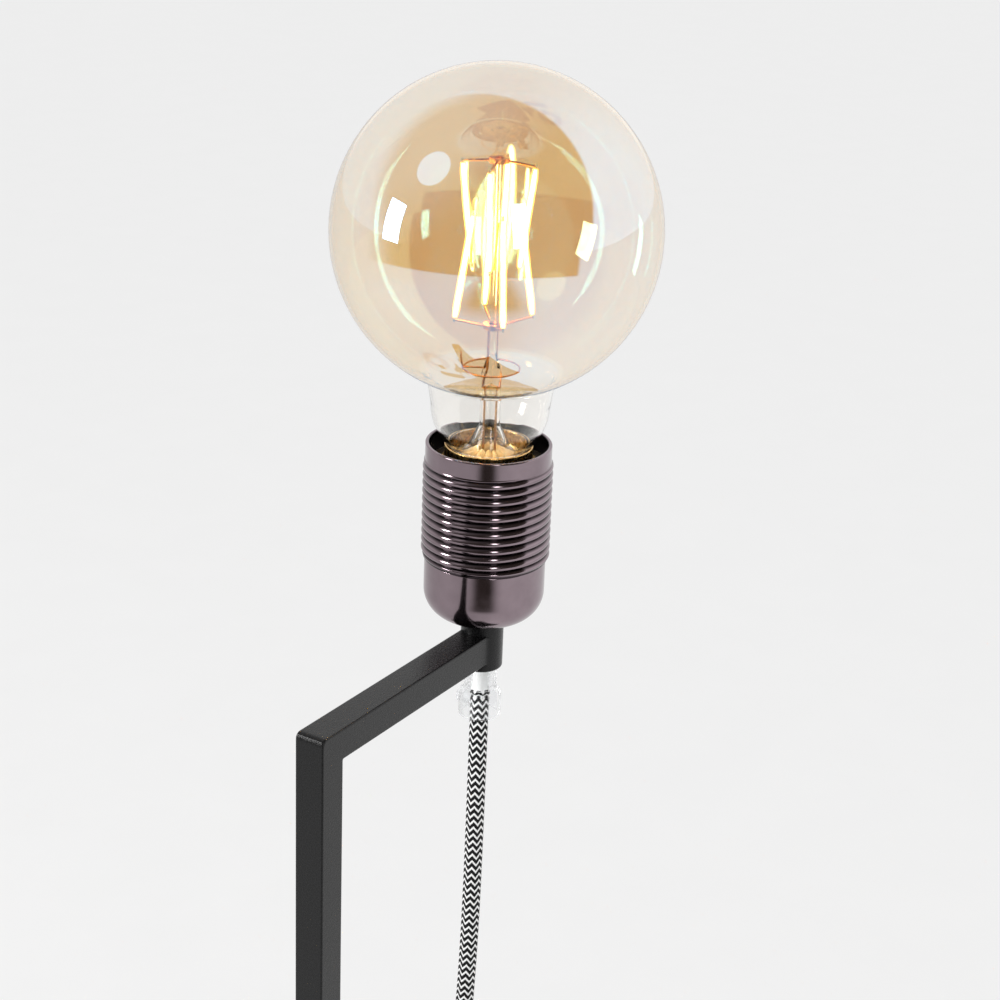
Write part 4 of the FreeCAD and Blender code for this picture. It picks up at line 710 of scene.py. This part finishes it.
turns = np.arange(0.5 / turn_points, coil_turns, 1 / turn_points)
route = np.concatenate([drop_route, link_route, coil_route(turns), tail_route])
line_data = bpy.data.curves.new("cord_line", "CURVE")
line_data.dimensions = "3D"
line_data.resolution_u = 40
spline = line_data.splines.new("NURBS")
spline.points.add(len(route) - 1)
spline.points.foreach_set("co", np.column_stack([route, np.ones(len(route))]).ravel())
spline.order_u = 3
spline.use_endpoint_u = True
line_object = bpy.data.objects.new("cord_line", line_data)
line_mesh = bpy.data.meshes.new_from_object(line_object)
line_points = np.empty(len(line_mesh.vertices) * 3)
line_mesh.vertices.foreach_get("co", line_points)
line_points = line_points.reshape(-1, 3)
bpy.data.objects.remove(line_object)
bpy.data.meshes.remove(line_mesh)
line_length = np.concatenate([[0], np.cumsum(np.linalg.norm(np.diff(line_points, axis=0), axis=1))])
cord_length = line_length[-1]
seen_length, seen_step, hidden_rows = 0.3, 0.42 * MM, 1150
cord_marks = np.concatenate([np.arange(0, seen_length, seen_step),
                             np.linspace(seen_length, cord_length, hidden_rows)])
cord_path = np.column_stack([np.interp(cord_marks, line_length, values) for values in line_points.T])


def carried_frame(line):
    """Directions beside a line that don't twist: each is the last one less its part along the line."""
    ahead = unit(np.gradient(line, axis=0))
    side = np.tile([1.0, 0.0, 0.0], (len(line), 1))
    for step in range(1, len(line)):
        side[step] = unit(side[step - 1] - ahead[step] * (side[step - 1] @ ahead[step]))
    return side, np.cross(ahead, side)


cord_radius, zigzag, bare_sheath, braid_thick, yarn_groove = mm(2.9, 2.46, 13.2, 0.35, 0.05)
zigzags, zigzag_depth, yarns_a_zigzag, cord_sides = 7, 0.66, 3, 42
side, over = carried_frame(cord_path)
share = np.arange(cord_sides) / cord_sides
phase = cord_marks[:, None] / zigzag + zigzag_depth * abs(2 * ((share * zigzags) % 1) - 1)
yarns = yarn_groove * (abs(np.sin(yarns_a_zigzag * math.pi * phase)) - 1)
cord_reach = np.where(cord_marks[:, None] < bare_sheath, cord_radius - braid_thick, cord_radius + yarns)
angle = 2 * math.pi * share[:, None]
cord_grid = cord_path[:, None] + cord_reach[..., None] * (
    np.cos(angle) * side[:, None] + np.sin(angle) * over[:, None])
rows, columns = cord_grid.shape[:2]
corners = cell_corners(rows - 1, columns)
cells = np.stack([row * columns + column % columns for row, column in corners], axis=-1).reshape(-1, 4)
ends = [list(range(columns))[::-1], list(range((rows - 1) * columns, rows * columns))]
cord_mesh = bpy.data.meshes.new("textile_cord")
cord_mesh.from_pydata(cord_grid.reshape(-1, 3).tolist(), [], cells.tolist() + ends, shade_flat=False)
braid_map = np.stack([np.stack([column / columns, cord_marks[row] / zigzag], axis=-1)
                      for row, column in corners], axis=2)
end_maps = pairs(share[::-1], 0), pairs(share, cord_length / zigzag)
cord_mesh.uv_layers.new(name="braid").data.foreach_set(
    "uv", np.concatenate([part.ravel() for part in (braid_map, *end_maps)]))
cord = linked("textile_cord", cord_mesh)
# It stays out of mirror images, where its coil would show all over the globe.
cord.visible_glossy = False

# The braid's pattern follows its map: V shapes side by side round the cord, black over part of each
# zigzag, with ragged edges, and a relief of yarns that dive under each other.
zigzag_textile, tree, shader = new_finish("zigzag_textile", Sheen_Weight=0.06, Sheen_Roughness=0.5,
                                          Specular_IOR_Level=0.15)
braid_place = shade(tree, "UVMap", {"uv_map": "braid"}).outputs[0]
across, length_on = shade(tree, "SeparateXYZ", Vector=braid_place).outputs[:2]
fray_fineness, fray_width, stripe_edge = 2200.0, 0.16, (0.32, 0.29)
fray = noise(tree, fray_fineness, Detail=1.0)
leg = maths("FRACT", maths("MULTIPLY", across, zigzags))
peak = maths("ABSOLUTE", maths("SUBTRACT", maths("MULTIPLY", leg, 2.0), 1.0))
wave = maths("ADD", length_on, maths("MULTIPLY", peak, zigzag_depth))
stray = maths("MULTIPLY", maths("SUBTRACT", fray, 0.5), fray_width)
stripe = maths("PINGPONG", maths("ADD", wave, stray), 0.5)
yarn = maths("ABSOLUTE", maths("SINE", maths("MULTIPLY", wave, yarns_a_zigzag * math.pi)))
white = between(yarn, (0.74, 0.74, 0.735), (0.88, 0.88, 0.875))
dyed = between(yarn, (0.003, 0.003, 0.003), (0.008, 0.008, 0.009))
braid = between(ramp(stripe, *stripe_edge), white, dyed)
bare = maths("LESS_THAN", length_on, bare_sheath / zigzag)
half_leg = maths("FRACT", maths("MULTIPLY", across, 2.0 * zigzags))
rise = maths("SINE", maths("MULTIPLY", half_leg, math.pi))
relief = maths("MULTIPLY", yarn, maths("ADD", maths("MULTIPLY", rise, 0.6), 0.4))
bump = shade(tree, "Bump", Height=relief, Distance=0.12 * MM).outputs[0]
feed(shader, Base_Color=between(bare, braid, (0.8, 0.8, 0.79)), Normal=bump,
     Roughness=ramp(fray, 0.0, 1.0, 0.7, 0.95, curve="LINEAR"))
fit(cord, zigzag_textile, "frame", "zigzag_textile", "cord_drop", "cord_link", "cord_coil", "cord_tail")

# Switch: two halves of moulded black plastic screwed together round the cord, with a rocker between.
moulded_black = grained("moulded_black", (0.008, 0.008, 0.009), (0.018, 0.018, 0.019), (0.38, 0.5),
                        0.6 * MM, 0.03 * MM)
polished_black = grained("polished_black", (0.006, 0.006, 0.006), (0.012, 0.012, 0.012), (0.18, 0.28),
                         2 * MM)
finish_nodes(moulded_black, "switch_base", "switch_cover")
finish_nodes(polished_black, "switch_rocker")

# Plug: a flat two-pin plug moulded onto the cord, with a ribbed sleeve that keeps the cord from
# kinking and finger ribs on its sides. Its sizes along the way are in millimetres.
plug_end = np.array(tail_route[-1])
plug_length, nose, sleeve_ribs, finger_ribs, rib_height = 54, 2, (2.6, 15.6), (40, 51), 0.5


def eased(at, keys, values):
    """Values between keys, each step taken along the smooth curve."""
    spot = np.clip(np.searchsorted(keys, at, side="right") - 1, 0, len(keys) - 2)
    keys, values = np.array(keys), np.array(values)
    share = np.clip((at - keys[spot]) / (keys[spot + 1] - keys[spot]), 0, 1)
    return values[spot] + (values[spot + 1] - values[spot]) * smooth(share)


def ribbed(at, span, pitch):
    """How far the ribs of a span cut in: a raised cosine from its first rib's foot."""
    wave = 0.5 - 0.5 * np.cos(2 * math.pi * (at - span[0]) / pitch)
    return rib_height * wave * (at > span[0]) * (at < span[1])


def squared(wave, power):
    """A cosine or sine whose size is raised to a power, its sign kept, which squares up a round section."""
    return np.sign(wave) * abs(wave) ** power


shoulder = plug_length - nose
at = np.concatenate([np.linspace(0, 18, 80), np.linspace(18.1, 24, 24), np.linspace(24.2, shoulder, 90),
                     shoulder + nose * np.sin(np.linspace(0, math.pi / 2, 10))])
half_width = eased(at, [0, 17, 22, 40, plug_length], [3.6, 4.9, 8.2, 17.4, 17.4])
half_height = eased(at, [0, 17, 23, plug_length], [3.6, 4.9, 6.8, 6.8])
squareness = eased(at, [0, 17, 30, plug_length], [2, 2, 3.4, 4.6])
ribs = ribbed(at, sleeve_ribs, 2.6)
front = np.where(at > shoulder, nose - np.sqrt(np.maximum(nose ** 2 - (at - shoulder) ** 2, 0)), 0)
plug_turn = full_turn(72)
power = 2 / squareness[:, None]
half_width = half_width - ribs - ribbed(at, finger_ribs, 2.2) - front
plug_y = half_width[:, None] * squared(np.cos(plug_turn), power)
plug_z = (half_height - ribs - front)[:, None] * squared(np.sin(plug_turn), power)
plug_grid = np.stack([at[:, None] + 0 * plug_y, plug_y, plug_z], axis=-1) * MM + plug_end
plug = surface("moulded_plug", plug_grid)
fit(plug, moulded_black, "frame", "black_plastic", "plug_body")
finish_nodes(polished_black, "pin_sheaths")

# Tie: a woven black strap with a hooked tab, wrapped once round the turns of the coil.
strap = grained("woven_strap", (0.004, 0.004, 0.004), (0.02, 0.02, 0.021), (0.8, 0.95), 0.3 * MM, 0.2 * MM)
strap_width, strap_thick, strap_bend = mm(12, 0.7, 3)
strap_in, strap_out, strap_low = mm(20.7, 42.1, 0.45)
strap_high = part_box("cord_tie")[1].z - strap_thick / 2
tab_start, tab_end, tab_lift = mm(24, 41.5, 0.8)
tie_turn = math.radians(-20)


def band_round(name, line, closed):
    """A flat strap along a line of (distance from the coil's middle, height), turned to the tie's place.

    Each row is a thin rectangle with rounded edges, its thickness along the line's own side direction.
    """
    steps = np.roll(line, -1, axis=0) - np.roll(line, 1, axis=0) if closed else np.gradient(line, axis=0)
    ahead = unit(steps)
    side = pairs(ahead[:, 1], -ahead[:, 0])
    section = rectangle(strap_width / 2, strap_thick / 2, 0.25 * MM, steps=3)
    out, height = np.moveaxis(line[:, None] + side[:, None] * section[None, :, 1:], -1, 0)
    over = np.broadcast_to(section[:, 0], out.shape)
    x = coil_middle[0] + out * math.cos(tie_turn) - over * math.sin(tie_turn)
    y = coil_middle[1] + out * math.sin(tie_turn) + over * math.cos(tie_turn)
    return surface(name, np.stack([x, y, height], axis=-1), shell=closed)


loop = softened([(strap_in, strap_low, strap_bend), (strap_out, strap_low, strap_bend),
                 (strap_out, strap_high, strap_bend), (strap_in, strap_high, strap_bend)], steps=8)
tab_run = np.linspace(tab_start, tab_end, 12)
tab_rise = strap_thick + 0.05 * MM + tab_lift * ((tab_run - tab_start) / (tab_end - tab_start)) ** 6
tab_line = pairs(tab_run, strap_high + tab_rise)
tie = joined("strap_tie", band_round("strap_loop", loop, True), band_round("strap_tab", tab_line, False))
fit(tie, strap, "frame", "black_strap", "cord_tie")

# Camera: a short tele lens, close to the lamp, looking down a little past the post at the holder and
# the bulb, and rolled by a few degrees.
sight_turn, sight_lift, sight_roll = math.radians(-58.3), math.radians(21.92), math.radians(2.24)
sight_aside, sight_rise, sight_reach = mm(-3.22, -17.06, 629.2)
level = np.array([math.cos(sight_turn), math.sin(sight_turn), 0])
before = np.array([level[1], -level[0], 0])
back = math.cos(sight_lift) * before + math.sin(sight_lift) * np.array([0, 0, 1])
upward = np.cross(back, level)
right = math.cos(sight_roll) * level + math.sin(sight_roll) * upward
up = math.cos(sight_roll) * upward - math.sin(sight_roll) * level
eye = np.array([axis_x, 0, rim]) + back * sight_reach - right * sight_aside + up * sight_rise


def stood(name, data, place, toward, over):
    """An object for a camera or a lamp at a place, facing along toward, its top edge turned to over."""
    thing = linked(name, data)
    depth = -unit(toward)
    aside = unit(np.cross(over, depth))
    turn = np.column_stack([aside, np.cross(depth, aside), depth, place])
    thing.matrix_world = Matrix(np.vstack([turn, (0, 0, 0, 1)]).tolist())
    return thing


camera = bpy.data.cameras.new("camera")
camera.lens = 77.09
camera.sensor_width = 36
bpy.context.scene.camera = stood("camera", camera, eye, -back, up)

# Floor: a wide matt white table top. Seen by the camera, in metal or through glass, most of its tone is
# an even white, and the rest keeps the shadow that the lamp casts on it. Metal and glass also mirror the
# camera's stand on it, its end before the dark brown room and a fairer side on the camera's right.
room_brown, floor_white, even_share = (0.07, 0.06, 0.05), (0.89, 0.89, 0.89), 0.8
fair_gain, fair_start, fair_full = 0.35, 0.1, 0.9
stand_side, stand_front, table_edge = (0.34, 0.1), (0.3, 0.55), (1.25, 1.4)
room_edge, room_bearing, front_bearing = 0.827 * before - 0.39 * level, (0.08, 0.14), (-0.2, 0.4)
white_top = grained("white_top", (0.78, 0.78, 0.78), (0.82, 0.82, 0.82), (0.7, 0.9), 40 * MM)
white_top.cycles.emission_sampling = "NONE"


def reach_along(vector, direction):
    """How far a vector goes along a direction: their dot product."""
    dot = shade(vector.id_data, "VectorMath", {"operation": "DOT_PRODUCT"}, i0=vector, i1=tuple(direction))
    return dot.outputs["Value"]


def mirrored_gain(sideways, thrown):
    """The gain of a tone in mirror images, one and up to fair_gain more towards the camera's right."""
    fair_side = ramp(sideways, fair_start, fair_full, high=fair_gain)
    return maths("ADD", maths("MULTIPLY", fair_side, thrown), 1.0)


tree = white_top.node_tree
rays = shade(tree, "LightPath").outputs
thrown = maths("MINIMUM", rays["Glossy Depth"], 1.0)
place = shade(tree, "TexCoord").outputs["Object"]
distance = shade(tree, "VectorMath", {"operation": "LENGTH"}, i0=place).outputs["Value"]
nearer = reach_along(place, before)
aside = reach_along(place, level)
off_axis = maths("ABSOLUTE", maths("SUBTRACT", aside, float(axis_x * level[0])))
stand = maths("MULTIPLY", ramp(off_axis, *stand_side), ramp(nearer, *stand_front))
bearing = maths("DIVIDE", reach_along(place, room_edge), distance)
front_end = ramp(maths("DIVIDE", nearer, distance), *front_bearing)
dark_end = maths("MULTIPLY", ramp(bearing, *room_bearing), front_end)
table_end = maths("MULTIPLY", ramp(distance, *table_edge), dark_end)
unlit = maths("MULTIPLY", maths("MAXIMUM", stand, table_end), thrown)
seen = maths("ADD", maths("ADD", rays["Is Camera Ray"], rays["Is Glossy Ray"]),
             rays["Is Transmission Ray"])
even = maths("ADD", maths("MULTIPLY", unlit, 1 - even_share), even_share)
even = maths("MULTIPLY", maths("MINIMUM", seen, 1.0), even)
gain = mirrored_gain(maths("DIVIDE", aside, distance), thrown)
glow = shade(tree, "Emission", Color=between(unlit, floor_white, room_brown), Strength=gain).outputs[0]
matt = tree.nodes["Principled BSDF"].outputs[0]
both = shade(tree, "MixShader", i0=even, i1=matt, i2=glow).outputs[0]
feed(tree.nodes["Material Output"], Surface=both)
floor_half = 8.0
floor_mesh = bpy.data.meshes.new("floor")
floor_corners = [(floor_half * x, floor_half * y, 0) for x, y in ((1, -1), (1, 1), (-1, 1), (-1, -1))]
floor_mesh.from_pydata(floor_corners, [], [(0, 1, 2, 3)])
floor_mesh.materials.append(white_top)
linked("floor", floor_mesh)

# Studio light: one soft box on the left, a slim one beside the camera and a faint one high up between
# them.
bulb_middle = np.array([axis_x, 0, rim + globe_rise])


def seen_from_bulb(turn, lift):
    """A direction: degrees round to the camera's right from the camera's side, and degrees up."""
    turn, lift = math.radians(turn), math.radians(lift)
    sideways = math.cos(turn) * before + math.sin(turn) * level
    return math.cos(lift) * sideways + math.sin(lift) * np.array([0, 0, 1])


for name, shape, turn, lift, reach, width, height, watts in (
    ("left_box", "RECTANGLE", -73, 8, 0.9, 0.2, 0.34, 4.4),
    ("slim_box", "RECTANGLE", 16, 18, 1.0, 0.16, 0.5, 2.0),
    ("top_box", "ELLIPSE", -62, 44, 0.9, 0.34, 0.34, 0.25),
):
    lamp = bpy.data.lights.new(name, "AREA")
    lamp.shape = shape
    lamp.size = width
    lamp.size_y = height
    lamp.energy = watts
    way = seen_from_bulb(turn, lift)
    stood(name, lamp, bulb_middle + reach * way, -way, (0, 0, 1))

# Room: white walls behind the lamp and, fairer, on its right, and a dark brown room on the camera's side,
# up to a slanting edge, which fades towards the upper left. It shows in mirror images; straight on or
# through the glass, all is as white as the floor.
wall_white, lit_wall, least_dark = (0.86, 0.86, 0.86), (1.0, 1.0, 1.0), 0.62
edge_slope, front_slope = (0, 0, 0.406), (0, 0, 0.82)
world = bpy.data.worlds.new("studio_walls")
bpy.context.scene.world = world
world.use_nodes = True
world.cycles.sampling_method = "NONE"
tree = world.node_tree
gaze = shade(tree, "TexCoord").outputs["Generated"]
thrown = maths("MINIMUM", shade(tree, "LightPath").outputs["Glossy Depth"], 1.0)
slanting = ramp(reach_along(gaze, room_edge + edge_slope), -0.03, 0.03)
in_front = ramp(reach_along(gaze, before + front_slope), -0.1, 0.4)
faded = ramp(reach_along(gaze, 0.8 * upward - 0.6 * level), 0.2, 1.0, 1.0, least_dark)
dark_side = maths("MULTIPLY", maths("MULTIPLY", slanting, in_front), faded)
room_tone = between(dark_side, lit_wall, room_brown)
feed(tree.nodes["Background"], Color=between(thrown, wall_white, room_tone),
     Strength=mirrored_gain(reach_along(gaze, level), thrown))

bpy.context.scene.view_settings.view_transform = "Standard"
